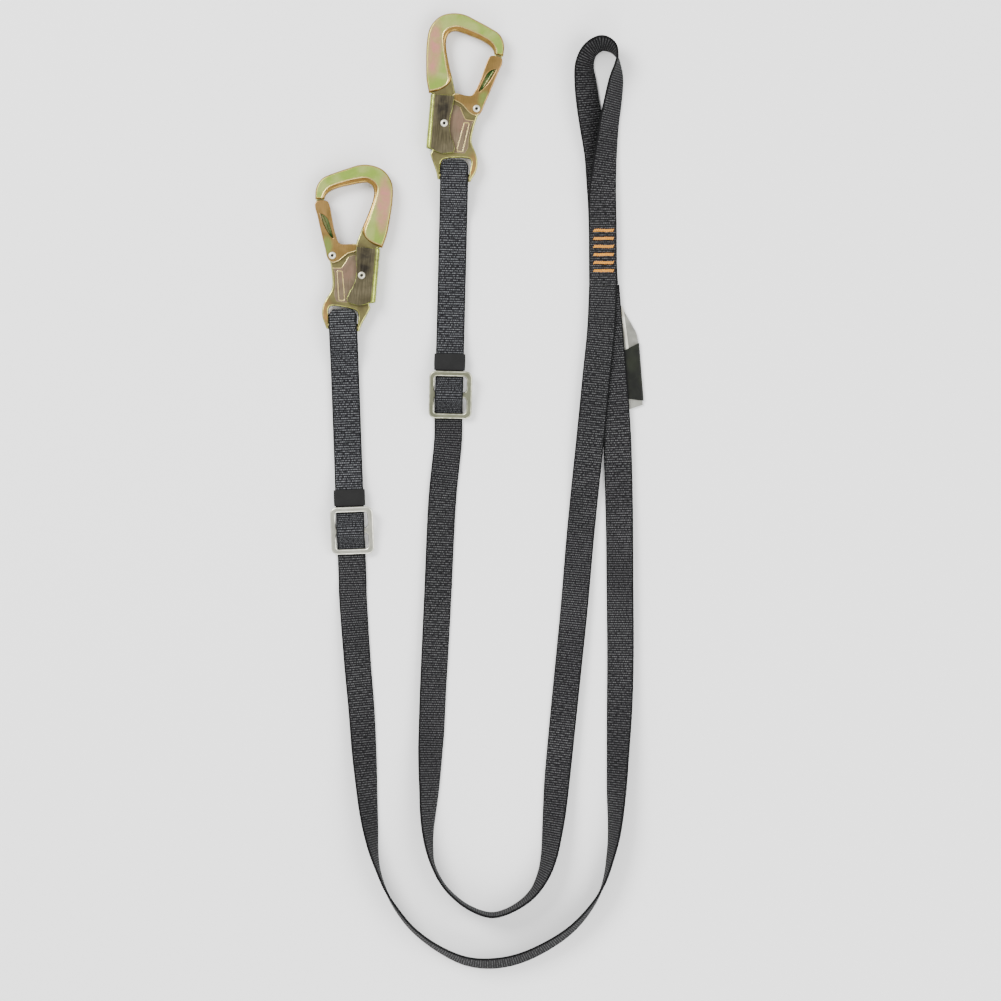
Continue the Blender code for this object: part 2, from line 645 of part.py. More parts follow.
def lever_mesh():
    """Return the lock lever: a channel folded round the spine."""
    body = plate(
        "lever",
        [
            corner(
                [
                    (-0.0285, 0.0690, 0.002), (-0.0056, 0.0712, 0.0015), (-0.0086, 0.0470, 0.020), (-0.0012, 0.0280, 0.006),
                    (-0.0020, 0.0205, 0.003), (-0.0140, 0.0192, 0.003), (-0.0272, 0.0240, 0.003), (-0.0277, 0.0460, 0.0),
                ]
            )
        ],
        LEVER_OUTER,
        0.0008,
    )
    slot = [(-0.0261, 0.0), (0.03, 0.0), (0.03, 0.09), (-0.0267, 0.09)]
    shaft = cylinder(RIVET_RADIUS + GAP, -0.02, 0.02, *LEVER_PIVOT)
    return combine(body, [plate("slot", [slot], LEVER_INNER), shaft], "DIFFERENCE")


def rivet_mesh(outer):
    """Return a rivet with two dished heads, whose heads lie on faces at +outer and -outer."""
    seat = outer + GAP
    head = seat + RIVET_HEAD_HEIGHT
    half = [
        (0.0, head - 0.0007), (0.0010, head - 0.0007), (0.0014, head), (RIVET_HEAD_RADIUS - 0.0006, head),
        (RIVET_HEAD_RADIUS, head - 0.0006), (RIVET_HEAD_RADIUS, seat), (RIVET_RADIUS, seat),
    ]
    profile = half + [(x, -z) for x, z in reversed(half)]
    mesh = bpy.data.meshes.new("rivet")
    mesh.from_pydata([(x, 0, z) for x, z in profile], [(i, i + 1) for i in range(len(profile) - 1)], [])
    target = add("work", mesh, helpers)
    screw = target.modifiers.new("Screw", "SCREW")
    screw.steps = screw.render_steps = 14
    screw.use_merge_vertices = True
    screw.merge_threshold = 0.00001
    bpy.context.view_layer.update()
    result = bpy.data.meshes.new_from_object(target.evaluated_get(bpy.context.evaluated_depsgraph_get()))
    bpy.data.objects.remove(target)
    return result


def spring_mesh():
    """Return the coil of a torsion spring that sits in a pocket of the body round a rivet."""
    radius = (RIVET_RADIUS + SPRING_POCKET) / 2
    wire = SPRING_WIRE / 2
    low, high = PLATE_HALF - POCKET_DEPTH + wire + GAP, PLATE_HALF - wire - GAP
    curve = bpy.data.curves.new("spring", "CURVE")
    curve.dimensions = "3D"
    curve.bevel_depth = wire
    curve.bevel_resolution = 0
    curve.use_fill_caps = True
    count = 12 * SPRING_TURNS
    spline = curve.splines.new("POLY")
    spline.points.add(count)
    for k, point in enumerate(spline.points):
        angle = 2 * math.pi * SPRING_TURNS * k / count
        point.co = (radius * math.cos(angle), radius * math.sin(angle), low + (high - low) * k / count, 1.0)
    return solid_mesh(curve, "spring")


def build_hook(key, side, frame, meshes):
    """Place a hook's pieces: the body turns about the eye's bar, the gate and lever about their rivets."""
    pivot = bpy.data.objects.new("hook_pivot_" + key, None)
    parts.objects.link(pivot)
    pivot.parent = frame
    pivot.location = (0, side["strap"], HOOK_HEIGHT)
    turn = math.radians(side["hook_turn"] - side["turn"])
    pivot.rotation_euler = (0, math.pi if side["over"] else 0.0, turn)
    zinc = finish("zinc_" + key, (0.46, 0.38, 0.16), 0.35, 1.0)
    gate_zinc = finish("gate_zinc_" + key, (0.42, 0.30, 0.14), 0.38, 1.0)
    lever_zinc = finish("lever_zinc_" + key, (0.34, 0.29, 0.15), 0.42, 1.0)
    rivet_steel = finish("rivet_steel_" + key, (0.62, 0.58, 0.46), 0.3, 1.0)
    spring_steel = finish("spring_steel_" + key, (0.40, 0.40, 0.40), 0.3, 1.0)
    rows = (
        ("hook_body_", "body", (0, 0), zinc),
        ("gate_", "gate", GATE_PIVOT, gate_zinc),
        ("lock_lever_", "lever", LEVER_PIVOT, lever_zinc),
        ("gate_rivet_", "gate_rivet", GATE_PIVOT, rivet_steel),
        ("lever_rivet_", "lever_rivet", LEVER_PIVOT, rivet_steel),
        ("gate_spring_", "spring", GATE_PIVOT, spring_steel),
        ("lever_spring_", "spring", LEVER_PIVOT, spring_steel),
    )
    for name, mesh, place, material in rows:
        piece = add(name + key, meshes[mesh].copy(), parts, material)
        piece.parent = pivot
        piece.location = (*place, 0)


def hook_meshes():
    """Return the meshes of one hook, each with its origin on its own axis."""
    meshes = {"body": hook_body(), "gate": gate_mesh(), "lever": lever_mesh(), "spring": spring_mesh()}
    for name, (x, y) in (("gate", GATE_PIVOT), ("lever", LEVER_PIVOT)):
        meshes[name].transform(Matrix.Translation((-x, -y, 0)))
    meshes["gate_rivet"] = rivet_mesh(GATE_OUTER)
    meshes["lever_rivet"] = rivet_mesh(LEVER_OUTER)
    return meshes


clear_scene()
parts = collection("lanyard")
helpers = collection("helpers")
web_shape = web_section()
build_webbing(web_shape)
build_joint()
build_label()
hook_parts = hook_meshes()
for side_key, side_sizes in SIDES.items():
    strap_frame = bpy.data.objects.new("strap_frame_" + side_key, None)
    parts.objects.link(strap_frame)
    strap_frame.location = (*side_sizes["slide"], 0)
    strap_frame.rotation_euler = (0, 0, math.radians(side_sizes["turn"]))
    build_slide(side_key, strap_frame)
    build_strap(side_key, side_sizes, strap_frame)
    build_hook(side_key, side_sizes, strap_frame, hook_parts)
for shape in hook_parts.values():
    bpy.data.meshes.remove(shape)
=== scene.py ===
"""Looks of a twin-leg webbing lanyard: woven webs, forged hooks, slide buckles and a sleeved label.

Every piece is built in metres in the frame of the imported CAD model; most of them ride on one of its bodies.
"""

from __future__ import annotations

import json
import logging
import math
from dataclasses import dataclass
from enum import Enum
from typing import Callable, Sequence

import bmesh
import bpy
from mathutils import Matrix, Vector

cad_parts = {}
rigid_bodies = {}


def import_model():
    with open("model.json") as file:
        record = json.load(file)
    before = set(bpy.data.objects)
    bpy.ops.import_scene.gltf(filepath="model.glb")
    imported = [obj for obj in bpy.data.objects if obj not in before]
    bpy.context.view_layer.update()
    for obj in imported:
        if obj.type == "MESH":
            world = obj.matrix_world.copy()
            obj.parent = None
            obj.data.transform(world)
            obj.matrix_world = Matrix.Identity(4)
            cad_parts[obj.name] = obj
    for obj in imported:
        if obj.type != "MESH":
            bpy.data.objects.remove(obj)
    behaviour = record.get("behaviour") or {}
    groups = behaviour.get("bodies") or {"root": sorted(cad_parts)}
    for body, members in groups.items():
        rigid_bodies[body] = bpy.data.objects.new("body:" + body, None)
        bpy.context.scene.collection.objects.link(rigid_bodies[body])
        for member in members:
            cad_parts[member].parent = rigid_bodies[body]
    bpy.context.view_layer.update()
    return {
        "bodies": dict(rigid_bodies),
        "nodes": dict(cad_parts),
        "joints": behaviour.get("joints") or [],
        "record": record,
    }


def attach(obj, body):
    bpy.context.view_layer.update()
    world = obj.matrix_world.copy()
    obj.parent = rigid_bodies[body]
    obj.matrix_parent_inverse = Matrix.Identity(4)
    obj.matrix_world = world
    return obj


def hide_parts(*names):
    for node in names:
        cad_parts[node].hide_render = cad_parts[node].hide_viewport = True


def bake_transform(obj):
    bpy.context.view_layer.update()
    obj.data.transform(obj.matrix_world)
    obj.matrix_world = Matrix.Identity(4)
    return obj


log = logging.getLogger("lanyard")

Colour = tuple[float, float, float]
Point = tuple[float, ...]
Mesh, Object, Material = bpy.types.Mesh, bpy.types.Object, bpy.types.Material
Node, Socket, Tree = bpy.types.Node, bpy.types.NodeSocket, bpy.types.NodeTree
BMesh, BMFace = bmesh.types.BMesh, bmesh.types.BMFace

# ---- Sizes of the real thing, in metres ----
WEB_WIDTH = 0.025
WEB_THICK = 0.0024
GAP = 0.0003  # between pieces that touch
LAYER = WEB_THICK + GAP
RIB_PITCH = 0.0021  # between the weft ribs of the web
RIB_DEPTH = 0.30  # share of half the thickness that a rib stands out
RINGS_PER_RIB = 4
YARN_PITCH = 0.0017
EYE_BAR = 0.0034  # radius of the bar of a hook's eye
JOINT_X = 0.1108  # the joint of the loop and the legs
JOINT_TOP = 0.0480

# Webs that lie on the surface: x, y, degrees that the outer edge is raised, height of the underside.
LOOP_ROUTE = [
    (0.1114, -0.0007, 0, 0.0025), (0.1103, 0.0198, 0, 0.0025), (0.1101, 0.0439, 0, 0.0025),
    (0.1094, 0.0680, 2, 0.0016), (0.1081, 0.0886, 6, 0.0), (0.1054, 0.1154, 18, 0.0),
    (0.1000, 0.1431, 28, 0.0), (0.0969, 0.1609, 32, 0.0), (0.0947, 0.1788, 37, 0.0),
    (0.0936, 0.1949, 48, 0.0), (0.0982, 0.2078, 57, 0.0), (0.1085, 0.2147, 62, 0.0),
    (0.1179, 0.2114, 72, 0.0), (0.1228, 0.2033, 90, 0.0), (0.1233, 0.1949, 103, 0.0),
    (0.1226, 0.1868, 115, 0.0), (0.1213, 0.1779, 123, 0.0), (0.1186, 0.1609, 130, 0.0),
    (0.1156, 0.1431, 135, 0.0003), (0.1130, 0.1198, 142, 0.0014), (0.1112, 0.1020, 152, 0.0026),
    (0.1100, 0.0841, 164, 0.0038), (0.1098, 0.0663, 174, 0.0048), (0.1101, 0.0439, 180, 0.0052),
    (0.1102, 0.0198, 180, 0.0052), (0.1103, -0.0007, 180, 0.0052),
]
LEG_A_ROUTE = [
    (0.1103, -0.0013, 0, 0.0052), (0.1085, -0.0409, 0, 0.0063), (0.1049, -0.0766, 0, 0.0064),
    (0.1014, -0.1123, 0, 0.0064), (0.0978, -0.1481, 1, 0.0058), (0.0906, -0.2195, 8, 0.0),
    (0.0844, -0.2909, 14, 0.0), (0.0772, -0.3624, 18, 0.0), (0.0701, -0.4338, 24, 0.0),
    (0.0670, -0.4695, 35, 0.0), (0.0647, -0.4910, 46, 0.0), (0.0621, -0.5097, 56, 0.0),
    (0.0572, -0.5267, 67, 0.0), (0.0473, -0.5437, 78, 0.0), (0.0308, -0.5566, 84, 0.0),
    (0.0112, -0.5628, 86, 0.0), (-0.0085, -0.5566, 88, 0.0), (-0.0246, -0.5446, 89, 0.0),
    (-0.0348, -0.5320, 89, 0.0), (-0.0415, -0.5178, 87, 0.0), (-0.0446, -0.5035, 78, 0.0),
    (-0.0460, -0.4874, 68, 0.0), (-0.0458, -0.4695, 56, 0.0), (-0.0449, -0.4517, 47, 0.0),
    (-0.0444, -0.4338, 38, 0.0), (-0.0438, -0.4160, 30, 0.0), (-0.0429, -0.3981, 24, 0.0),
    (-0.0415, -0.3624, 20, 0.0), (-0.0397, -0.3267, 16, 0.0), (-0.0371, -0.2731, 12, 0.0),
    (-0.0348, -0.2195, 8, 0.0), (-0.0326, -0.1838, 4, 0.0),
]
LEG_B_ROUTE = [
    (0.1124, -0.0013, 0, 0.0025), (0.1153, -0.0364, 0, 0.0035), (0.1188, -0.0784, 0, 0.0036),
    (0.1212, -0.1079, 0, 0.0036), (0.1231, -0.1391, 0, 0.0036), (0.1242, -0.1748, 6, 0.0018),
    (0.1251, -0.2195, 14, 0.0), (0.1255, -0.2731, 17, 0.0), (0.1259, -0.3267, 19, 0.0),
    (0.1253, -0.3713, 24, 0.0), (0.1237, -0.4160, 38, 0.0), (0.1223, -0.4517, 48, 0.0),
    (0.1206, -0.4856, 64, 0.0), (0.1174, -0.5079, 76, 0.0), (0.1116, -0.5320, 88, 0.0),
    (0.1022, -0.5517, 98, 0.0), (0.0844, -0.5731, 106, 0.0), (0.0621, -0.5892, 111, 0.0),
    (0.0362, -0.6013, 114, 0.0), (0.0112, -0.6060, 115, 0.0), (-0.0129, -0.6035, 111, 0.0),
    (-0.0371, -0.5923, 105, 0.0), (-0.0585, -0.5763, 101, 0.0), (-0.0737, -0.5579, 98, 0.0),
    (-0.0839, -0.5401, 92, 0.0), (-0.0905, -0.5222, 86, 0.0), (-0.0946, -0.5044, 73, 0.0),
    (-0.0971, -0.4865, 60, 0.0), (-0.0990, -0.4695, 51, 0.0), (-0.1005, -0.4517, 44, 0.0),
    (-0.1018, -0.4338, 37, 0.0), (-0.1031, -0.4160, 30, 0.0), (-0.1054, -0.3802, 23, 0.0),
    (-0.1085, -0.3445, 19, 0.0), (-0.1112, -0.3088, 14, 0.0), (-0.1132, -0.2775, 6, 0.0),
]
# The outer side of a hook's bow in the hook's own frame, from its cheek round to its nose: x, y.
BOW_BACK = [
    (-0.0321, 0.0849), (-0.0338, 0.1008), (-0.0346, 0.1156), (-0.0336, 0.1282), (-0.0297, 0.1365),
    (-0.0228, 0.1427), (-0.0128, 0.1455), (-0.0025, 0.1448), (0.0082, 0.1406), (0.0201, 0.1354),
    (0.0284, 0.1310), (0.0327, 0.1256), (0.0346, 0.1192),
]


class Side(Enum):
    """The two legs of the lanyard."""

    A = "a"
    B = "b"


class Body(Enum):
    """The CAD bodies that are not one of a pair."""

    WEBBING = "webbing"
    LABEL_COVER = "label_cover"


# ---- Mesh tools ----
def as_mesh(bm: BMesh, name: str) -> Mesh:
    """Turn a bmesh into a mesh and free it.

    Args:
        bm: the finished bmesh.
        name: the mesh's name.

    Returns:
        The new mesh.
    """
    mesh = bpy.data.meshes.new(name)
    bm.to_mesh(mesh)
    bm.free()
    return mesh


def joined(meshes: Sequence[Mesh], name: str) -> Mesh:
    """Put several meshes into one, keeping their UVs and attributes.

    Args:
        meshes: the meshes, which are removed.
        name: the name of the result.

    Returns:
        The joined mesh.
    """
    bm = bmesh.new()
    for mesh in meshes:
        bm.from_mesh(mesh)
        bpy.data.meshes.remove(mesh)
    return as_mesh(bm, name)


def wrapped_grid(
    columns: int, rows: int, surface: Callable[[int, int], tuple[Vector, float, float]], closed: bool = True
) -> BMesh:
    """Bend a flat grid onto a surface.

    Args:
        columns: faces round the piece.
        rows: faces along it.
        surface: gives the place and the two UV values for a column and a row.
        closed: whether the last column meets the first.

    Returns:
        The bmesh, with a UV map named "web".
    """
    bm = bmesh.new()
    layer = bm.loops.layers.uv.new("web")
    bmesh.ops.create_grid(bm, x_segments=columns, y_segments=rows, size=1.0)
    values = {}
    for vert in bm.verts:
        column = round((vert.co.x + 1) / 2 * columns)
        row = round((vert.co.y + 1) / 2 * rows)
        place, u, v = surface(column, row)
        vert.co = place
        values[vert] = (u, v)
    for face in bm.faces:
        face.smooth = True
        for loop in face.loops:
            loop[layer].uv = values[loop.vert]
    if closed:
        bmesh.ops.remove_doubles(bm, verts=bm.verts, dist=1e-7)
    return bm


def close_ends(bm: BMesh) -> None:
    """Fill the open ends of a tube and turn its faces outwards.

    Args:
        bm: the tube's bmesh.
    """
    rims = [edge for edge in bm.edges if edge.is_boundary]
    if rims:
        caps = bmesh.ops.holes_fill(bm, edges=rims, sides=0)["faces"]
        for face in caps:
            face.smooth = False
            for edge in face.edges:
                edge.smooth = False
    bmesh.ops.recalc_face_normals(bm, faces=bm.faces)


def tube(points: Sequence[Vector], radius: float, around: int = 8, flat: float = 1.0) -> Mesh:
    """Sweep a round or flattened section along points.

    Args:
        points: the middle of the tube.
        radius: its radius.
        around: faces round it.
        flat: height of the section as a share of its width.

    Returns:
        A closed mesh.
    """
    up = Vector((0, 0, 1))
    frames = []
    for i, here in enumerate(points):
        heading = (points[min(i + 1, len(points) - 1)] - points[max(i - 1, 0)]).normalized()
        side = heading.cross(up)
        side = side.normalized() if side.length > 1e-6 else Vector((1, 0, 0))
        frames.append((here, side, side.cross(heading)))
    length = [0.0]
    for p, q in zip(points, points[1:]):
        length.append(length[-1] + (q - p).length)

    def surface(column: int, row: int) -> tuple[Vector, float, float]:
        """Place one point of the tube."""
        here, side, top = frames[row]
        angle = 2 * math.pi * column / around
        place = here + side * (radius * math.cos(angle)) + top * (radius * flat * math.sin(angle))
        return place, column / around * radius * 6, length[row]

    bm = wrapped_grid(around, len(points) - 1, surface)
    close_ends(bm)
    return as_mesh(bm, "tube")


def rounded(corners: Sequence[Point], steps: int = 8) -> list[Vector]:
    """Return an outline whose corners are rounded by arcs.

    Args:
        corners: rows of x, y and radius; a radius of 0 leaves the corner sharp.
        steps: points to a quarter turn.

    Returns:
        The outline's points.
    """
    outline = []
    for i, (x, y, radius) in enumerate(corners):
        here = Vector((x, y))
        before, after = Vector(corners[i - 1][:2]) - here, Vector(corners[(i + 1) % len(corners)][:2]) - here
        room = 0.49 * min(before.length, after.length)
        before.normalize()
        after.normalize()
        half = before.angle(after) / 2
        if radius == 0 or half > math.radians(88):
            outline.append(here)
            continue
        reach = min(radius / math.tan(half), room)
        radius = reach * math.tan(half)
        centre = here + (before + after).normalized() * (radius / math.sin(half))
        start = here + before * reach - centre
        turn = start.angle_signed(here + after * reach - centre)
        count = max(2, round(steps * abs(turn) / (math.pi / 2)) + 1)
        for k in range(count + 1):
            outline.append(centre + Matrix.Rotation(-turn * k / count, 2) @ start)
    return outline


def curved(a: Vector, b: Vector, c: Vector, d: Vector, t: float) -> Vector:
    """Return a point of the smooth curve that runs from b to c.

    Args:
        a: the point before b.
        b: where the curve starts.
        c: where it ends.
        d: the point after c.
        t: how far along it the point is, from 0 to 1.

    Returns:
        The point.
    """
    bent = (2 * a - 5 * b + 4 * c - d) * t * t
    return 0.5 * (2 * b + (c - a) * t + bent + (3 * b - a - 3 * c + d) * t**3)


def flowing(points: Sequence[Point], step: float = 0.0011, closed: bool = True) -> list[Vector]:
    """Return a smooth outline through points.

    Args:
        points: rows of x and y; a third value marks a sharp corner.
        step: distance between the outline's points.
        closed: whether it runs back to its start.

    Returns:
        The outline's points.
    """
    count = len(points)
    spans = count if closed else count - 1
    line = []
    for i in range(spans):
        b, c = points[i], points[(i + 1) % count]
        before = points[i - 1] if closed or i else b
        after = points[(i + 2) % count] if closed or i + 2 < count else c
        p1, p2 = Vector(b[:2]), Vector(c[:2])
        p0 = 2 * p1 - p2 if len(b) > 2 or before is b else Vector(before[:2])
        p3 = 2 * p2 - p1 if len(c) > 2 or after is c else Vector(after[:2])
        pieces = max(1, round((p2 - p1).length / step))
        for k in range(pieces):
            t = k / pieces
            line.append(curved(p0, p1, p2, p3, t))
    if not closed:
        line.append(Vector(points[-1][:2]))
    return line


def rounded_box(half_wide: float, half_high: float, radius: float, steps: int = 8) -> list[Vector]:
    """Return the outline of a box round the origin with round corners.

    Args:
        half_wide: half its width.
        half_high: half its height.
        radius: radius of its corners.
        steps: points to a quarter turn.

    Returns:
        The outline's points.
    """
    ways = ((-1, -1), (1, -1), (1, 1), (-1, 1))
    return rounded([(sx * half_wide, sy * half_high, radius) for sx, sy in ways], steps)


def beside(line: Sequence[Vector], distance: float) -> list[Vector]:
    """Return an open line moved to its left by a distance.

    Args:
        line: its points.
        distance: how far it moves.

    Returns:
        The moved line.
    """
    moved = []
    for i, here in enumerate(line):
        heading = (line[min(i + 2, len(line) - 1)] - line[max(i - 2, 0)]).normalized()
        moved.append(here + Vector((-heading.y, heading.x)) * distance)
    return moved


def inset(outline: Sequence[Vector], distance: Callable[[Vector], float]) -> list[Vector]:
    """Move each point of an outline inwards.

    Args:
        outline: a closed outline, either way round.
        distance: gives how far the point at a place moves.

    Returns:
        The new outline.
    """
    count = len(outline)
    area = sum(outline[i - 1].cross(outline[i]) for i in range(count))
    way = 1.0 if area > 0 else -1.0
    moved = []
    for i, here in enumerate(outline):
        heading = (outline[(i + 2) % count] - outline[i - 2]).normalized()
        moved.append(here + Vector((-heading.y, heading.x)) * (way * distance(here)))
    return moved


def mark_flat(bm: BMesh, wear_and_highlight_mask: Callable[[BMFace], float]) -> None:
    """Give a bmesh what the zinc finishes read: the UV map "flat" in metres and the attribute "edge".

    Args:
        bm: the bmesh to mark.
        wear_and_highlight_mask: gives the attribute's value on a face, 1 on a rim; it marks rubbed wear and
            painted highlight.
    """
    flat = bm.loops.layers.uv.new("flat")
    mark = bm.loops.layers.float.new("edge")
    for face in bm.faces:
        value = wear_and_highlight_mask(face)
        for loop in face.loops:
            loop[flat].uv = loop.vert.co.xy
            loop[mark] = value


def smooth_faces(bm: BMesh, sharpest: float) -> None:
    """Shade a bmesh smoothly, except across its sharp edges.

    Args:
        bm: the bmesh to shade.
        sharpest: the angle in degrees from which an edge is sharp.
    """
    for face in bm.faces:
        face.smooth = True
    for edge in bm.edges:
        edge.smooth = edge.calc_face_angle(0.0) < math.radians(sharpest)


def sleeve(
    section: Sequence[Vector], wall: float, shares: Sequence[float],
    place: Callable[[int, Vector, float, bool], tuple[Vector, float, float]],
) -> Mesh:
    """Make an open tube with a wall, whose two faces meet round both ends.

    Args:
        section: its outer outline.
        wall: thickness of its wall.
        shares: places of its rings along it, from 0 to 1.
        place: gives the place and the two UV values for a column, its point of the section, the ring's share
            and whether the point is on the inner face.

    Returns:
        A closed mesh.
    """
    inner = inset(section, lambda point: wall)
    stations = [(shares[0], True), *((share, False) for share in shares), (shares[-1], True)]

    def surface(column: int, row: int) -> tuple[Vector, float, float]:
        """Place one point of the sleeve."""
        share, inside = stations[row]
        return place(column, (inner if inside else section)[column % len(section)], share, inside)

    bm = wrapped_grid(len(section), len(stations) - 1, surface)
    bmesh.ops.bridge_loops(bm, edges=[edge for edge in bm.edges if edge.is_boundary])
    bmesh.ops.recalc_face_normals(bm, faces=bm.faces)
    smooth_faces(bm, 50)
    return as_mesh(bm, "sleeve")


def slab(
    outline: Sequence[Vector], low: float, high: float, rim: float,
    holes: Sequence[Sequence[Vector]] = (), segments: int = 4,
) -> Mesh:
    """Make a flat plate with rounded rims.

    Args:
        outline: its outer edge.
        low: height of its underside.
        high: height of its top.
        rim: radius of its rims.
        holes: the edges of its openings.
        segments: faces across a rim.

    Returns:
        A closed mesh with a UV map "flat" in metres and a corner attribute "edge" that is 1 on the rims.
    """
    bm = bmesh.new()
    edges = []
    for ring in (outline, *holes):
        verts = [bm.verts.new((p.x, p.y, low)) for p in ring]
        edges += [bm.edges.new(pair) for pair in zip(verts, verts[1:] + verts[:1])]
    if holes:
        bmesh.ops.triangle_fill(bm, use_beauty=True, use_dissolve=False, edges=edges)
    else:
        bmesh.ops.contextual_create(bm, geom=edges)
    raised = bmesh.ops.extrude_face_region(bm, geom=bm.faces[:])["geom"]
    tops = [item for item in raised if isinstance(item, bmesh.types.BMVert)]
    bmesh.ops.translate(bm, verts=tops, vec=(0, 0, high - low))
    bmesh.ops.recalc_face_normals(bm, faces=bm.faces)
    corners = [
        edge for edge in bm.edges
        if len(edge.link_faces) == 2 and {abs(f.normal.z) > 0.5 for f in edge.link_faces} == {True, False}
    ]
    rims = set(bmesh.ops.bevel(
        bm, geom=corners, offset=rim, offset_type="OFFSET", segments=segments, profile=0.5,
        affect="EDGES", material=-1, clamp_overlap=False,
    )["faces"])
    for face in bm.faces:
        face.smooth = True
    for edge in bm.edges:
        kinds = {(f in rims, abs(f.normal.z) > 0.99) for f in edge.link_faces}
        edge.smooth = len(kinds) < 2 or all(on_rim for on_rim, _ in kinds)
    mark_flat(bm, lambda face: 1.0 if face in rims else 0.0)
    return as_mesh(bm, "slab")


def turned(profile: Sequence[Point], steps: int = 32) -> Mesh:
    """Spin a profile round the Z axis.

    Args:
        profile: rows of radius and height that start and end on the axis.
        steps: faces round it.

    Returns:
        A closed mesh.
    """
    bm = bmesh.new()
    verts = [bm.verts.new((x, 0, z)) for x, z in profile]
    edges = [bm.edges.new(pair) for pair in zip(verts, verts[1:])]
    bmesh.ops.spin(
        bm, geom=verts + edges, cent=(0, 0, 0), axis=(0, 0, 1), angle=2 * math.pi, steps=steps, use_merge=True
    )
    bmesh.ops.remove_doubles(bm, verts=bm.verts, dist=1e-6)
    bmesh.ops.recalc_face_normals(bm, faces=bm.faces)
    mark_flat(bm, lambda face: 0.0)
    smooth_faces(bm, 40)
    return as_mesh(bm, "turned")


def with_flat_map(mesh: Mesh) -> Mesh:
    """Give a tube the UV map and the attribute that the zinc finishes read.

    Args:
        mesh: the tube, which is removed.

    Returns:
        The marked mesh.
    """
    bm = bmesh.new()
    bm.from_mesh(mesh)
    bpy.data.meshes.remove(mesh)
    mark_flat(bm, lambda face: 0.5)
    return as_mesh(bm, "mapped")


def piece(name: str, mesh: Mesh, material: Material, place: Matrix | None = None) -> Object:
    """Add a finished piece to the scene, with its place in its mesh.

    Args:
        name: the piece's name.
        mesh: its mesh.
        material: its finish.
        place: where the mesh goes.

    Returns:
        The new object.
    """
    if place is not None:
        mesh.transform(place)
        if place.to_3x3().determinant() < 0:
            mesh.flip_normals()
    mesh.name = name
    mesh.materials.clear()
    mesh.materials.append(material)
    obj = bpy.data.objects.new(name, mesh)
    bpy.context.scene.collection.objects.link(obj)
    log.info("%s: %d faces", name, len(mesh.polygons))
    return obj


def tie(made: Object, body: str, slot: str, *nodes: str) -> None:
    """Tie a piece to the CAD model.

    Args:
        made: the piece.
        body: the body that it rides on.
        slot: the record's material slot; not used.
        nodes: the CAD nodes that it stands for.
    """
    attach(made, body)
    if nodes:
        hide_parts(*nodes)


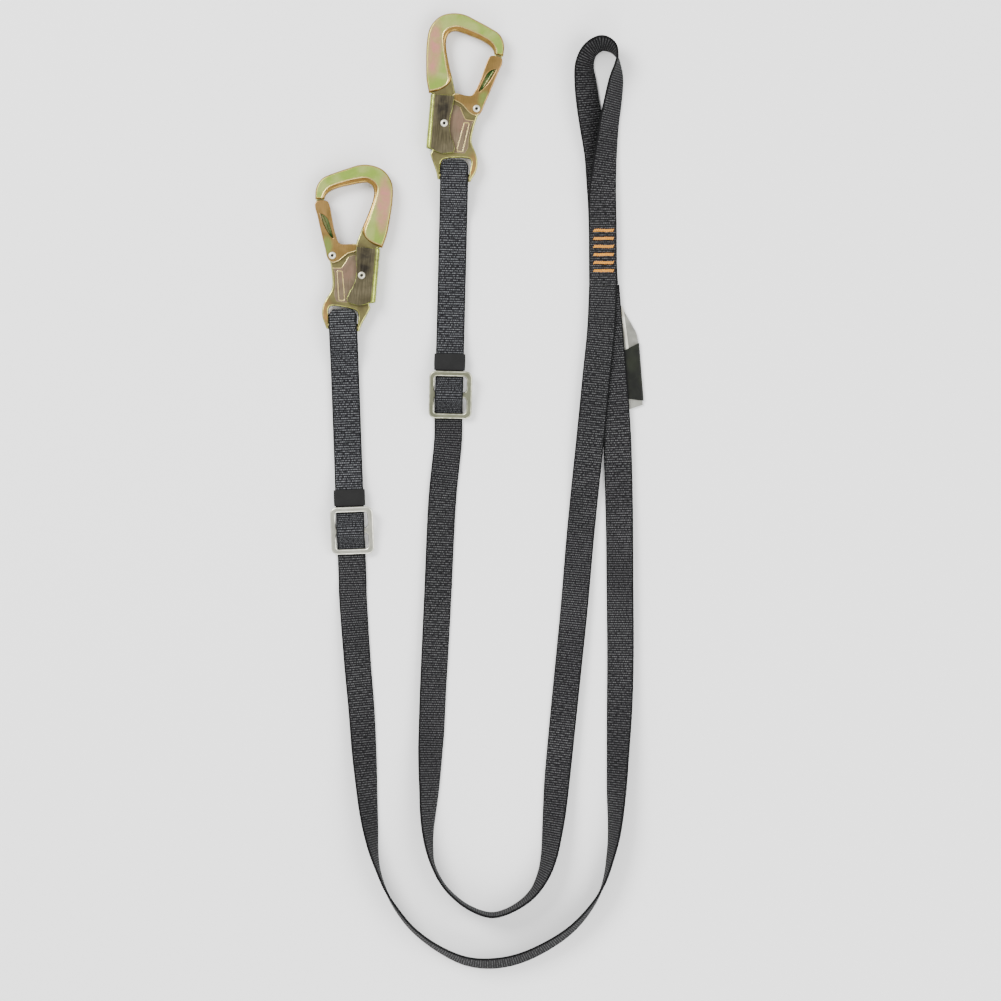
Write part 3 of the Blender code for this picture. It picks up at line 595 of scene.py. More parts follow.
# ---- Finishes ----
class Wires:
    """Makes and joins the nodes of one tree."""

    def __init__(self, tree: Tree) -> None:
        """Keep the tree to build in."""
        self.tree = tree

    def node(self, kind: str, **settings: object) -> Node:
        """Add a node and set its properties.

        Args:
            kind: the node's type.
            settings: its properties.

        Returns:
            The node.
        """
        made = self.tree.nodes.new(kind)
        for name, value in settings.items():
            setattr(made, name, value)
        return made

    def feed(self, value: object, socket: Socket) -> None:
        """Link a socket to another, or set its value.

        Args:
            value: a socket or a value.
            socket: the input that takes it.
        """
        if isinstance(value, Socket):
            self.tree.links.new(value, socket)
        else:
            socket.default_value = value

    def uv_map(self, name: str) -> Socket:
        """Return the place on a UV map."""
        return self.node("ShaderNodeUVMap", uv_map=name).outputs[0]

    def on_object(self) -> Socket:
        """Return the place on the object."""
        return self.node("ShaderNodeTexCoord").outputs["Object"]

    def edge_mask(self) -> Socket:
        """Return the attribute that marks the worn rims."""
        return self.node("ShaderNodeAttribute", attribute_name="edge").outputs["Fac"]

    def parted(self, vector: object) -> Sequence[Socket]:
        """Return the three values of a vector.

        Args:
            vector: the vector to part.

        Returns:
            The sockets of the three values.
        """
        made = self.node("ShaderNodeSeparateXYZ")
        self.feed(vector, made.inputs[0])
        return made.outputs

    def wave(self, operation: str, phase: object) -> Socket:
        """Return a sine or cosine moved to the range from 0 to 1."""
        return self.math("MULTIPLY_ADD", self.math(operation, phase), 0.5, 0.5)

    def math(self, operation: str, a: object, b: object = 0.0, c: object = 0.0) -> Socket:
        """Add a Math node and return its result.

        Args:
            operation: what it does.
            a: its first value.
            b: its second value.
            c: its third value.

        Returns:
            The result.
        """
        made = self.node("ShaderNodeMath", operation=operation)
        for socket, value in zip(made.inputs, (a, b, c)):
            self.feed(value, socket)
        return made.outputs[0]

    def ranged(self, value: object, low: float, high: float, to_low: float = 0.0,
               to_high: float = 1.0) -> Socket:
        """Return a value moved smoothly from one range to another.

        Args:
            value: the value.
            low: where its range starts.
            high: where its range ends.
            to_low: where the new range starts.
            to_high: where the new range ends.

        Returns:
            The moved value.
        """
        made = self.node("ShaderNodeMapRange", interpolation_type="SMOOTHSTEP")
        for socket, number in zip(made.inputs, (value, low, high, to_low, to_high)):
            self.feed(number, socket)
        return made.outputs[0]

    def mix(self, share: object, a: object, b: object, blend: str = "MIX") -> Socket:
        """Return a mix of two colours.

        Args:
            share: how much of the second colour shows.
            a: the first colour.
            b: the second colour.
            blend: how they are mixed.

        Returns:
            The mixed colour.
        """
        made = self.node("ShaderNodeMix", data_type="RGBA", blend_type=blend)
        self.feed(share, made.inputs[0])
        for socket, value in zip(made.inputs[6:8], (a, b)):
            self.feed((*value, 1.0) if isinstance(value, tuple) and len(value) == 3 else value, socket)
        return made.outputs[2]

    def noise(self, vector: object, scale: float, detail: float = 3.0, warp: float = 0.0) -> Socket:
        """Return a noise value from 0 to 1 at a place.

        Args:
            vector: the place.
            scale: how fine the noise is.
            detail: how many finer layers it has.
            warp: how much it is warped.

        Returns:
            The value.
        """
        made = self.node("ShaderNodeTexNoise")
        self.feed(vector, made.inputs["Vector"])
        made.inputs["Scale"].default_value = scale
        made.inputs["Detail"].default_value = detail
        made.inputs["Distortion"].default_value = warp
        return made.outputs["Fac"]

    def scaled(self, vector: object, scale: Point, shift: Point = (0.0, 0.0, 0.0)) -> Socket:
        """Return a place after a Mapping node.

        Args:
            vector: the place.
            scale: the scale on each axis.
            shift: how far it moves.

        Returns:
            The new place.
        """
        made = self.node("ShaderNodeMapping")
        self.feed(vector, made.inputs["Vector"])
        made.inputs["Scale"].default_value = scale
        made.inputs["Location"].default_value = shift
        return made.outputs[0]

    def bump(self, height: object, strength: float, distance: float) -> Socket:
        """Return the normal of a height.

        Args:
            height: the height.
            strength: how much the bump shows.
            distance: how high it is in metres.

        Returns:
            The normal.
        """
        made = self.node("ShaderNodeBump")
        made.inputs["Strength"].default_value = strength
        made.inputs["Distance"].default_value = distance
        self.feed(height, made.inputs["Height"])
        return made.outputs[0]

    def group(self, tree: Tree, **values: object) -> Node:
        """Place a node group and feed its named inputs.

        Args:
            tree: the group.
            values: its inputs, with _ for a space.

        Returns:
            The group's node.
        """
        made = self.node("ShaderNodeGroup")
        made.node_tree = tree
        for name, value in values.items():
            self.feed(value, made.inputs[name.replace("_", " ")])
        return made


def new_group(name: str, inputs: Sequence[tuple[str, str]],
              outputs: Sequence[tuple[str, str]]) -> tuple[Wires, Node, Node]:
    """Start a shader node group.

    Args:
        name: the group's name.
        inputs: names and socket types of its inputs.
        outputs: names and socket types of its outputs.

    Returns:
        Its wires, its input node and its output node.
    """
    tree = bpy.data.node_groups.new(name, "ShaderNodeTree")
    for way, rows in (("INPUT", inputs), ("OUTPUT", outputs)):
        for label, kind in rows:
            tree.interface.new_socket(name=label, in_out=way, socket_type="NodeSocket" + kind)
    wires = Wires(tree)
    return wires, wires.node("NodeGroupInput"), wires.node("NodeGroupOutput")


def weave_group() -> Tree:
    """Build the group that gives the weave of a web from the place across and along it.

    Returns:
        The group.
    """
    wires, source, result = new_group(
        "weave", [("Across", "Float"), ("Along", "Float"), ("Rib Pitch", "Float"), ("Yarn Pitch", "Float"),
                  ("Half Width", "Float")],
        [("Crest", "Float"), ("Yarn", "Float"), ("Selvedge", "Float"), ("Height", "Float")],
    )
    across, along, rib, yarn_pitch, half = source.outputs[:5]
    ribs = wires.math("DIVIDE", along, rib)
    crest = wires.wave("COSINE", wires.math("MULTIPLY", ribs, 2 * math.pi))
    row = wires.math("FLOOR", wires.math("ADD", ribs, 0.5))
    shift = wires.math("MULTIPLY", wires.math("MODULO", row, 2.0), 0.5)
    yarns = wires.math("ADD", wires.math("DIVIDE", across, yarn_pitch), shift)
    yarn = wires.wave("COSINE", wires.math("MULTIPLY", yarns, 2 * math.pi))
    share = wires.math("DIVIDE", wires.math("ABSOLUTE", across), half)
    selvedge = wires.ranged(share, 0.88, 0.94)
    height = wires.math("MULTIPLY", wires.math("MULTIPLY_ADD", yarn, 0.5, 0.5), crest)
    for value, socket in zip((crest, yarn, selvedge, height), result.inputs):
        wires.feed(value, socket)
    return wires.tree


def film_group() -> Tree:
    """Build the group that mixes the drifting colours of a passivated zinc film, and lightens its rims as
    rubbed wear and painted highlight.

    Returns:
        The group.
    """
    wires, source, result = new_group(
        "zinc_film",
        [("Place", "Vector"), ("First", "Color"), ("Second", "Color"), ("Patch", "Color"),
         ("Patch Mask", "Float"),
         ("Edge", "Float"), ("Edge Colour", "Color")],
        [("Colour", "Color"), ("Cloud", "Float"), ("Rim Wear And Highlight", "Float")],
    )
    place, first, second, patch, mask, edge, edge_colour = source.outputs[:7]
    cloud = wires.ranged(wires.noise(place, 55.0, 3.0, 0.6), 0.35, 0.65)
    fine = wires.noise(place, 420.0, 4.0)
    colour = wires.mix(cloud, first, second)
    drift = wires.ranged(wires.noise(place, 95.0, 4.0, 0.8), 0.3, 0.7)
    patchy = wires.math("MULTIPLY", mask, wires.math("MULTIPLY_ADD", drift, 0.55, 0.45))
    colour = wires.mix(patchy, colour, patch)
    # Rims take the edge colour: partly rubbed-through wear, partly a painted highlight where they catch
    # light.
    rim_wear_and_highlight = wires.math("MULTIPLY", edge, wires.ranged(wires.noise(place, 160.0, 4.0), 0.25, 0.6))
    colour = wires.mix(rim_wear_and_highlight, colour, edge_colour)
    colour = wires.mix(wires.math("MULTIPLY_ADD", fine, 0.36, -0.08), colour,
                       wires.mix(1.0, colour, (0.55, 0.52, 0.45), "MULTIPLY"))
    for value, socket in zip((colour, cloud, rim_wear_and_highlight), result.inputs):
        wires.feed(value, socket)
    return wires.tree


def new_material(name: str, roughness: float, metallic: float) -> tuple[Material, Wires, Node]:
    """Start a material and return it with its wires and its Principled shader.

    Args:
        name: the material's name.
        roughness: its roughness.
        metallic: how metallic it is.

    Returns:
        The material, its wires and its shader.
    """
    material = bpy.data.materials.new(name)
    material.use_nodes = True
    shader = material.node_tree.nodes["Principled BSDF"]
    shader.inputs["Roughness"].default_value = roughness
    shader.inputs["Metallic"].default_value = metallic
    return material, Wires(material.node_tree), shader


@dataclass(frozen=True)
class WebFinish:
    """Woven web: painted shade between the ribs, a painted highlight on their crests, and short painted
    glints where yarns cross them.
    """

    name: str
    # The three colours: painted shade between the ribs, a painted highlight on the rib crests, and painted
    # glints where yarns cross them.
    valley: Colour
    crest: Colour
    painted_glint: Colour
    shine: float = 0.12

    def material(self, weave: Tree) -> Material:
        """Build the material, which reads the UV map "web".

        Args:
            weave: the group of the weave.

        Returns:
            The material.
        """
        material, wires, shader = new_material(self.name, 0.8, 0.0)
        uv = wires.uv_map("web")
        across, along = wires.parted(uv)[:2]
        woven = wires.group(
            weave, Across=across, Along=along, Rib_Pitch=RIB_PITCH, Yarn_Pitch=YARN_PITCH,
            Half_Width=WEB_WIDTH / 2,
        )
        crest, yarn, selvedge, height = woven.outputs[:4]
        place = wires.on_object()
        broken = wires.ranged(wires.noise(wires.scaled(uv, (700.0, 480.0, 1.0)), 1.0, 2.0), 0.34, 0.62)
        cloud = wires.ranged(wires.noise(place, 18.0, 2.0), 0.3, 0.7, 0.72, 1.0)
        middle = wires.math("SUBTRACT", 1.0, selvedge)
        rib = wires.math("MULTIPLY", wires.math("POWER", crest, 1.6), middle)
        # Painted light: short dashes of painted glints on the rib crests, over a painted highlight on the
        # crests and painted shade in the valleys.
        painted_glint_dash = wires.math("MULTIPLY", wires.math("MULTIPLY_ADD", yarn, 0.7, 0.3), broken)
        painted_glint_dash = wires.math("MULTIPLY", wires.math("MULTIPLY", rib, painted_glint_dash), cloud)
        colour = wires.mix(wires.math("MULTIPLY", rib, 0.8), self.valley, self.crest)
        wires.feed(wires.mix(painted_glint_dash, colour, self.painted_glint), shader.inputs["Base Color"])
        wires.feed(wires.math("MULTIPLY_ADD", painted_glint_dash, -0.3, 0.82), shader.inputs["Roughness"])
        fuzz = wires.noise(wires.scaled(uv, (5200.0, 2600.0, 1.0)), 1.0, 2.0)
        surface = wires.math("MULTIPLY_ADD", fuzz, 0.35, height)
        wires.feed(wires.bump(surface, 0.7, 0.0003), shader.inputs["Normal"])
        shader.inputs["Specular IOR Level"].default_value = self.shine
        return material


@dataclass(frozen=True)
class ZincFinish:
    """Yellow-passivated zinc, whose film drifts between a few colours."""

    name: str
    first: Colour
    second: Colour
    patch: Colour
    # edge is the rims' colour: rubbed wear and painted highlight.
    edge: Colour
    patch_centre: tuple[float, float] = (0.0, 0.0)
    patch_reach: tuple[float, float] = (0.01, 0.01)
    roughness: float = 0.36
    brushed: float = 0.0

    def material(self, film: Tree) -> Material:
        """Build the material, which reads the UV map "flat" and the attribute "edge".

        Args:
            film: the group of the zinc film.

        Returns:
            The material.
        """
        material, wires, shader = new_material(self.name, self.roughness, 0.88)
        uv = wires.uv_map("flat")
        place = wires.on_object()
        reach = (1 / self.patch_reach[0], 1 / self.patch_reach[1], 1.0)
        shift = (-self.patch_centre[0] * reach[0], -self.patch_centre[1] * reach[1], 0.0)
        away = wires.node("ShaderNodeVectorMath", operation="LENGTH")
        wires.feed(wires.scaled(uv, reach, shift), away.inputs[0])
        mask = wires.ranged(away.outputs["Value"], 1.15, 0.45)
        edge = wires.edge_mask()
        filmed = wires.group(
            film, Place=place, First=(*self.first, 1.0), Second=(*self.second, 1.0), Patch=(*self.patch, 1.0),
            Patch_Mask=mask, Edge=edge, Edge_Colour=(*self.edge, 1.0),
        )
        streaks = wires.noise(wires.scaled(uv, (1500.0, 45.0, 1.0)), 1.0, 4.0)
        colour = filmed.outputs["Colour"]
        if self.brushed:
            darker = wires.mix(1.0, colour, (0.42, 0.40, 0.38), "MULTIPLY")
            colour = wires.mix(wires.math("MULTIPLY", wires.ranged(streaks, 0.35, 0.7), self.brushed), colour,
                               darker)
        wires.feed(colour, shader.inputs["Base Color"])
        grain = wires.noise(place, 900.0, 3.0)
        rough = wires.math("MULTIPLY_ADD", grain, 0.22, self.roughness - 0.11)
        rough = wires.math("MULTIPLY_ADD", filmed.outputs["Rim Wear And Highlight"], -0.1, rough)
        wires.feed(rough, shader.inputs["Roughness"])
        height = wires.math("MULTIPLY_ADD", streaks, self.brushed, wires.noise(place, 260.0, 5.0))
        wires.feed(wires.bump(height, 0.16, 0.0004), shader.inputs["Normal"])
        return material


@dataclass(frozen=True)
class SatinFinish:
    """A plain satin surface with fine grain: metal, rubber, film or thread."""

    name: str
    colour: Colour
    shade: Colour
    roughness: float
    metallic: float = 0.0
    grain: float = 700.0
    depth: float = 0.15
    # edge: colour of the rims, for rubbed wear and painted highlight.
    edge: Colour | None = None

    def material(self) -> Material:
        """Build the material, which reads Object coordinates and, for its rims, the attribute "edge".

        Returns:
            The material.
        """
        material, wires, shader = new_material(self.name, self.roughness, self.metallic)
        shader.inputs["Specular IOR Level"].default_value = 0.5 if self.metallic else 0.2
        place = wires.on_object()
        cloud = wires.ranged(wires.noise(place, 70.0, 4.0, 0.4), 0.3, 0.7)
        colour = wires.mix(cloud, self.colour, self.shade)
        fine = wires.noise(place, self.grain, 4.0)
        # Rims lighten towards the edge colour: rubbed wear and a painted highlight.
        if self.edge is not None:
            edge = wires.edge_mask()
            wear_and_highlight_mask = wires.math("MULTIPLY", edge,
                              wires.ranged(wires.noise(place, 210.0, 4.0), 0.3, 0.6, 0.3, 1.0))
            colour = wires.mix(wear_and_highlight_mask, colour, self.edge)
        wires.feed(colour, shader.inputs["Base Color"])
        wires.feed(wires.math("MULTIPLY_ADD", fine, 0.24, self.roughness - 0.12), shader.inputs["Roughness"])
        wires.feed(wires.bump(fine, self.depth, 0.0003), shader.inputs["Normal"])
        return material


@dataclass(frozen=True)
class ThreadFinish:
    """Twisted sewing thread: fine slanting lines along the thread, darker in the twist's grooves as painted
    shade.
    """

    name: str
    light: Colour
    dark: Colour

    def material(self) -> Material:
        """Build the material, which reads the UV map "web".

        Returns:
            The material.
        """
        material, wires, shader = new_material(self.name, 0.5, 0.0)
        uv = wires.uv_map("web")
        across, along = wires.parted(uv)[:2]
        slant = wires.math("ADD", wires.math("MULTIPLY", across, 900.0),
                           wires.math("MULTIPLY", along, 9000.0))
        ply = wires.wave("SINE", slant)
        place = wires.on_object()
        soiled = wires.ranged(wires.noise(place, 260.0, 4.0), 0.35, 0.7)
        # The slanting lines darken towards the dark colour in the twist's grooves: painted shade.
        colour = wires.mix(wires.math("MULTIPLY", ply, 0.6), self.light, self.dark)
        wires.feed(wires.mix(wires.math("MULTIPLY", soiled, 0.35), colour, self.dark),
                   shader.inputs["Base Color"])
        wires.feed(wires.bump(ply, 0.5, 0.0001), shader.inputs["Normal"])
        shader.inputs["Sheen Weight"].default_value = 0.15
        return material


@dataclass
class Finishes:
    """All the materials, built once."""

    leg_web: Material
    hook_web: Material
    thread: Material
    bow: Material
    rim: Material
    bead: Material
    plate: Material
    panel: Material
    gate: Material
    core: Material
    lever: Material
    rivet: Material
    bore_shade: Material
    spring: Material
    nickel: dict[Side, Material]
    sleeve: Material
    label: Material
    fold: Material
    cover: Material


def make_finishes() -> Finishes:
    """Build every finish of the lanyard.

    Returns:
        The finishes.
    """
    weave, film = weave_group(), film_group()
    return Finishes(
        # Web colours: the first is the painted shade of the valleys, the second a painted highlight on the
        # crests, the last the painted glints.
        leg_web=WebFinish("leg_web", (0.0030, 0.0030, 0.0034), (0.0085, 0.0085, 0.0092),
                          (0.125, 0.125, 0.128)).material(weave),
        hook_web=WebFinish("hook_web", (0.0032, 0.0034, 0.0040), (0.0095, 0.0098, 0.0112),
                           (0.175, 0.180, 0.190)).material(weave),
        thread=ThreadFinish("tack_thread", (0.82, 0.35, 0.005), (0.45, 0.13, 0.002)).material(),
        bow=ZincFinish(
            "zinc_bow", (0.21, 0.31, 0.045), (0.31, 0.36, 0.10), (0.46, 0.19, 0.15), (0.42, 0.36, 0.08),
            (-0.0272, 0.112), (0.0080, 0.030), 0.42,
        ).material(film),
        rim=ZincFinish("zinc_rim", (0.19, 0.095, 0.022), (0.27, 0.15, 0.035), (0.18, 0.10, 0.03),
                       (0.30, 0.19, 0.045), roughness=0.34).material(film),
        # The beads' paler gold is partly the film's gold, partly a painted highlight on the raised beads.
        bead=ZincFinish("zinc_bead", (0.50, 0.36, 0.12), (0.60, 0.47, 0.18), (0.40, 0.24, 0.08),
                        (0.66, 0.55, 0.24), roughness=0.3).material(film),
        plate=ZincFinish(
            "zinc_plate", (0.105, 0.088, 0.040), (0.165, 0.150, 0.055), (0.36, 0.20, 0.060), (0.44, 0.44,
                                                                                              0.12),
            (0.018, 0.008), (0.010, 0.017), 0.38,
        ).material(film),
        panel=ZincFinish(
            "zinc_panel", (0.135, 0.100, 0.066), (0.185, 0.140, 0.090), (0.21, 0.13, 0.09), (0.42, 0.32,
                                                                                             0.18),
            (0.002, 0.050), (0.010, 0.012), 0.42, 0.35,
        ).material(film),
        gate=ZincFinish(
            "zinc_gate", (0.20, 0.125, 0.036), (0.29, 0.175, 0.055), (0.20, 0.26, 0.060), (0.42, 0.23, 0.080),
            (0.0205, 0.070), (0.0060, 0.010), 0.36, 0.3,
        ).material(film),
        # The core's dark greens are the recess's own green, darkened as painted shade in the recess behind
        # the gate's window.
        core=ZincFinish("zinc_core", (0.020, 0.070, 0.012), (0.16, 0.19, 0.07), (0.02, 0.02, 0.01),
                        (0.30, 0.26, 0.12), roughness=0.28).material(film),
        # The lever's edge colour paints its rims, for wear and painted highlight, and its rolled spine, as a
        # painted highlight; its patch darkens its upper middle to near black.
        lever=ZincFinish(
            "zinc_lever", (0.095, 0.082, 0.046), (0.145, 0.125, 0.075), (0.030, 0.026, 0.020), (0.36, 0.42,
                                                                                                0.070),
            (-0.0150, 0.060), (0.007, 0.018), 0.36, 0.85,
        ).material(film),
        rivet=SatinFinish("rivet_plating", (0.74, 0.72, 0.60), (0.58, 0.56, 0.44), 0.34, 0.6).material(),
        # The bores are near-black plugs: painted shade in the rivets' hollows.
        bore_shade=SatinFinish("rivet_bore_shade", (0.006, 0.005, 0.004), (0.010, 0.009, 0.007), 0.8).material(),
        spring=SatinFinish("spring_wire", (0.36, 0.35, 0.32), (0.26, 0.25, 0.23), 0.32, 1.0).material(),
        # Both buckles are the same nickel: B's brighter colours are a lit copy, a painted highlight; both
        # have paler rims for rubbed wear and painted highlight.
        nickel={
            Side.A: SatinFinish("nickel_a", (0.21, 0.215, 0.145), (0.145, 0.150, 0.100), 0.38, 0.92, 500.0,
                                0.2, (0.52, 0.52, 0.40)).material(),
            Side.B: SatinFinish("nickel_b_lit", (0.46, 0.46, 0.39), (0.34, 0.34, 0.28), 0.34, 0.92, 500.0, 0.2,
                                (0.70, 0.69, 0.60)).material(),
        },
        sleeve=SatinFinish("keeper_sleeve", (0.0035, 0.0035, 0.0035), (0.006, 0.006, 0.006), 0.6, 0.0, 900.0,
                           0.3).material(),
        label=SatinFinish("label_film", (0.25, 0.25, 0.22), (0.14, 0.14, 0.12), 0.45, 0.3, 450.0,
                          0.4).material(),
        # The pale fold colour is a painted highlight along the label's folded ridge.
        fold=SatinFinish("label_fold_highlight", (0.75, 0.74, 0.66), (0.42, 0.40, 0.33), 0.4, 0.1, 600.0,
                         0.5).material(),
        cover=SatinFinish("cover_film", (0.0035, 0.004, 0.003), (0.010, 0.012, 0.007), 0.36, 0.0, 250.0,
                          0.25).material(),
    )


# ---- Webs ----
@dataclass
class WebRow:
    """One ring of a web: its middle, the directions across and out of it, and how far along the web it is."""

    centre: Vector
    across: Vector
    out: Vector
    along: float
    narrowed: float = 1.0


@dataclass
class Web:
    """A woven web with real ribs, swept along rows."""

    width: float = WEB_WIDTH
    thick: float = WEB_THICK

    def section(self) -> list[tuple[float, float, float]]:
        """Return the section: place across, height as a share, and how much the ribs show there.

        Returns:
            Rows of the three values, round the web.
        """
        half = [(-0.5, 0.0, 0.0), (-0.492, 0.45, 0.0), (-0.470, 0.80, 0.2), (-0.43, 1.0, 0.8),
                (-0.2, 1.0, 1.0),
                (0.2, 1.0, 1.0), (0.43, 1.0, 0.8), (0.470, 0.80, 0.2), (0.492, 0.45, 0.0)]
        return half + [(-x, -z, rib) for x, z, rib in half]

    def mesh(self, rows: Sequence[WebRow]) -> Mesh:
        """Sweep the section along rows.

        Args:
            rows: the rings, RINGS_PER_RIB to a rib.

        Returns:
            A closed mesh whose UV map "web" is in metres across and along.
        """
        ring = self.section()
        around = len(ring)

        def surface(column: int, row: int) -> tuple[Vector, float, float]:
            """Place one point of the web."""
            x, z, rib = ring[column % around]
            here = rows[row]
            crest = 0.5 + 0.5 * math.cos(2 * math.pi * here.along / RIB_PITCH)
            half = self.thick / 2 * (1 - RIB_DEPTH * rib * (1 - crest))
            place = here.centre + here.across * (x * self.width * here.narrowed) + here.out * (z * half)
            return place, x * self.width, here.along

        bm = wrapped_grid(around, len(rows) - 1, surface)
        close_ends(bm)
        return as_mesh(bm, "web")


def lying_rows(route: Sequence[Point]) -> list[WebRow]:
    """Return the rings of a web that lies on the surface.

    Args:
        route: rows of x, y, lean in degrees and height of the underside.

    Returns:
        Rings, RINGS_PER_RIB to a rib.
    """
    rows = [Vector(row) for row in route]
    rows = [2 * rows[0] - rows[1], *rows, 2 * rows[-1] - rows[-2]]
    fine = []
    for a, b, c, d in zip(rows, rows[1:], rows[2:], rows[3:]):
        for k in range(16):
            t = k / 16
            fine.append(curved(a, b, c, d, t))
    fine.append(rows[-2])
    spots = evenly(fine)
    made = []
    for i, (along, spot) in enumerate(spots):
        before, after = spots[max(i - 3, 0)][1], spots[min(i + 3, len(spots) - 1)][1]
        heading = (after - before).xy.normalized()
        left, lean = Vector((-heading.y, heading.x, 0)), math.radians(spot[2])
        height = spot[3] + WEB_WIDTH / 2 * abs(math.sin(lean)) + WEB_THICK / 2 * abs(math.cos(lean))
        across = left * math.cos(lean) + Vector((0, 0, math.sin(lean)))
        out = Vector((0, 0, math.cos(lean))) - left * math.sin(lean)
        made.append(WebRow(Vector((spot[0], spot[1], height)), across, out, along))
    return made


def evenly(line: Sequence[Vector]) -> list[tuple[float, Vector]]:
    """Return points a fixed part of a rib apart along a line, each with its distance from the start.

    Args:
        line: points of two or more values, of which the first two count for the distance.

    Returns:
        Rows of distance and point.
    """
    lengths = [0.0]
    for p, q in zip(line, line[1:]):
        lengths.append(lengths[-1] + (q.xy - p.xy).length)
    count = round(lengths[-1] / RIB_PITCH * RINGS_PER_RIB)
    picked, j = [], 0
    for k in range(count + 1):
        want = lengths[-1] * k / count
        while j < len(line) - 2 and lengths[j + 1] < want:
            j += 1
        span = max(1e-9, lengths[j + 1] - lengths[j])
        picked.append((RIB_PITCH * k / RINGS_PER_RIB, line[j].lerp(line[j + 1], (want - lengths[j]) / span)))
    return picked


@dataclass
class SideFrame:
    """Where one leg's buckle and strap are."""

    side: Side
    strap_length: float  # from the buckle's middle bar to the bar of the hook's eye
    along: Vector
    hook_pivot: Vector
    hook_across: Vector
    turned_over: bool

    @property
    def origin(self) -> Vector:
        """Return the point of the surface under the buckle's middle bar."""
        spot = self.hook_pivot - self.along * self.strap_length
        return Vector((spot.x, spot.y, 0))

    @property
    def across(self) -> Vector:
        """Return the direction across the strap."""
        return Vector((self.along.y, -self.along.x, 0))

    def matrix(self) -> Matrix:
        """Return the frame of the strap: X across it, Y along it, Z up.

        Returns:
            The frame's matrix.
        """
        made = Matrix((self.across, self.along, Vector((0, 0, 1)))).transposed().to_4x4()
        made.translation = self.origin
        return made

    def hook_matrix(self) -> Matrix:
        """Return the frame of the hook: X on the eye's bar, Y along the hook, Z out of its face.

        Returns:
            The frame's matrix.
        """
        up = Vector((0, 0, -1.0 if self.turned_over else 1.0))
        made = Matrix((self.hook_across, up.cross(self.hook_across), up)).transposed().to_4x4()
        made.translation = self.hook_pivot
        return made


def side_frame(frame: dict, side: Side, strap_length: float, turned_over: bool) -> SideFrame:
    """Read one leg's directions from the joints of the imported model.

    Args:
        side: which leg.
        strap_length: from the buckle's middle bar to the eye's bar.
        turned_over: whether the hook lies on its other face.

    Returns:
        The leg's frame.
    """
    joints = {joint["name"]: joint for joint in frame["joints"]}
    slide, swing = joints[f"adjuster_{side.value}_slide"], joints[f"hook_{side.value}_swing"]
    across = Vector(swing["axis"]).normalized()
    return SideFrame(
        side, strap_length, Vector(slide["axis"]).normalized(), Vector(swing["pos_m"]),
        -across if turned_over else across, turned_over,
    )


def bend(start: Point, out: float, end: Point, into: float, pull: float = 0.45,
         count: int = 14) -> list[Vector]:
    """Return the points of a smooth bend, both ends left out.

    Args:
        start: where it starts.
        out: its heading there in degrees.
        end: where it ends.
        into: its heading there in degrees.
        pull: how far the headings reach, as a share of the distance.
        count: pieces it is cut into.

    Returns:
        Points between start and end.
    """
    a, d = Vector(start), Vector(end)
    reach = (d - a).length * pull
    b = a + reach * Vector((math.cos(math.radians(out)), math.sin(math.radians(out))))
    c = d - reach * Vector((math.cos(math.radians(into)), math.sin(math.radians(into))))
    made = []
    for k in range(1, count):
        t = k / count
        made.append((1 - t) ** 3 * a + 3 * t * (1 - t) ** 2 * b + 3 * t * t * (1 - t) * c + t**3 * d)
    return made


def arc(centre: Point, radius: float, first: float, last: float, count: int = 28) -> list[Vector]:
    """Return the points of an arc between two angles in degrees.

    Args:
        centre: its centre.
        radius: its radius.
        first: the angle where it starts.
        last: the angle where it ends.
        count: pieces it is cut into.

    Returns:
        The points.
    """
    made = []
    for k in range(count + 1):
        angle = math.radians(first + (last - first) * k / count)
        made.append(Vector((centre[0] + radius * math.cos(angle), centre[1] + radius * math.sin(angle))))
    return made


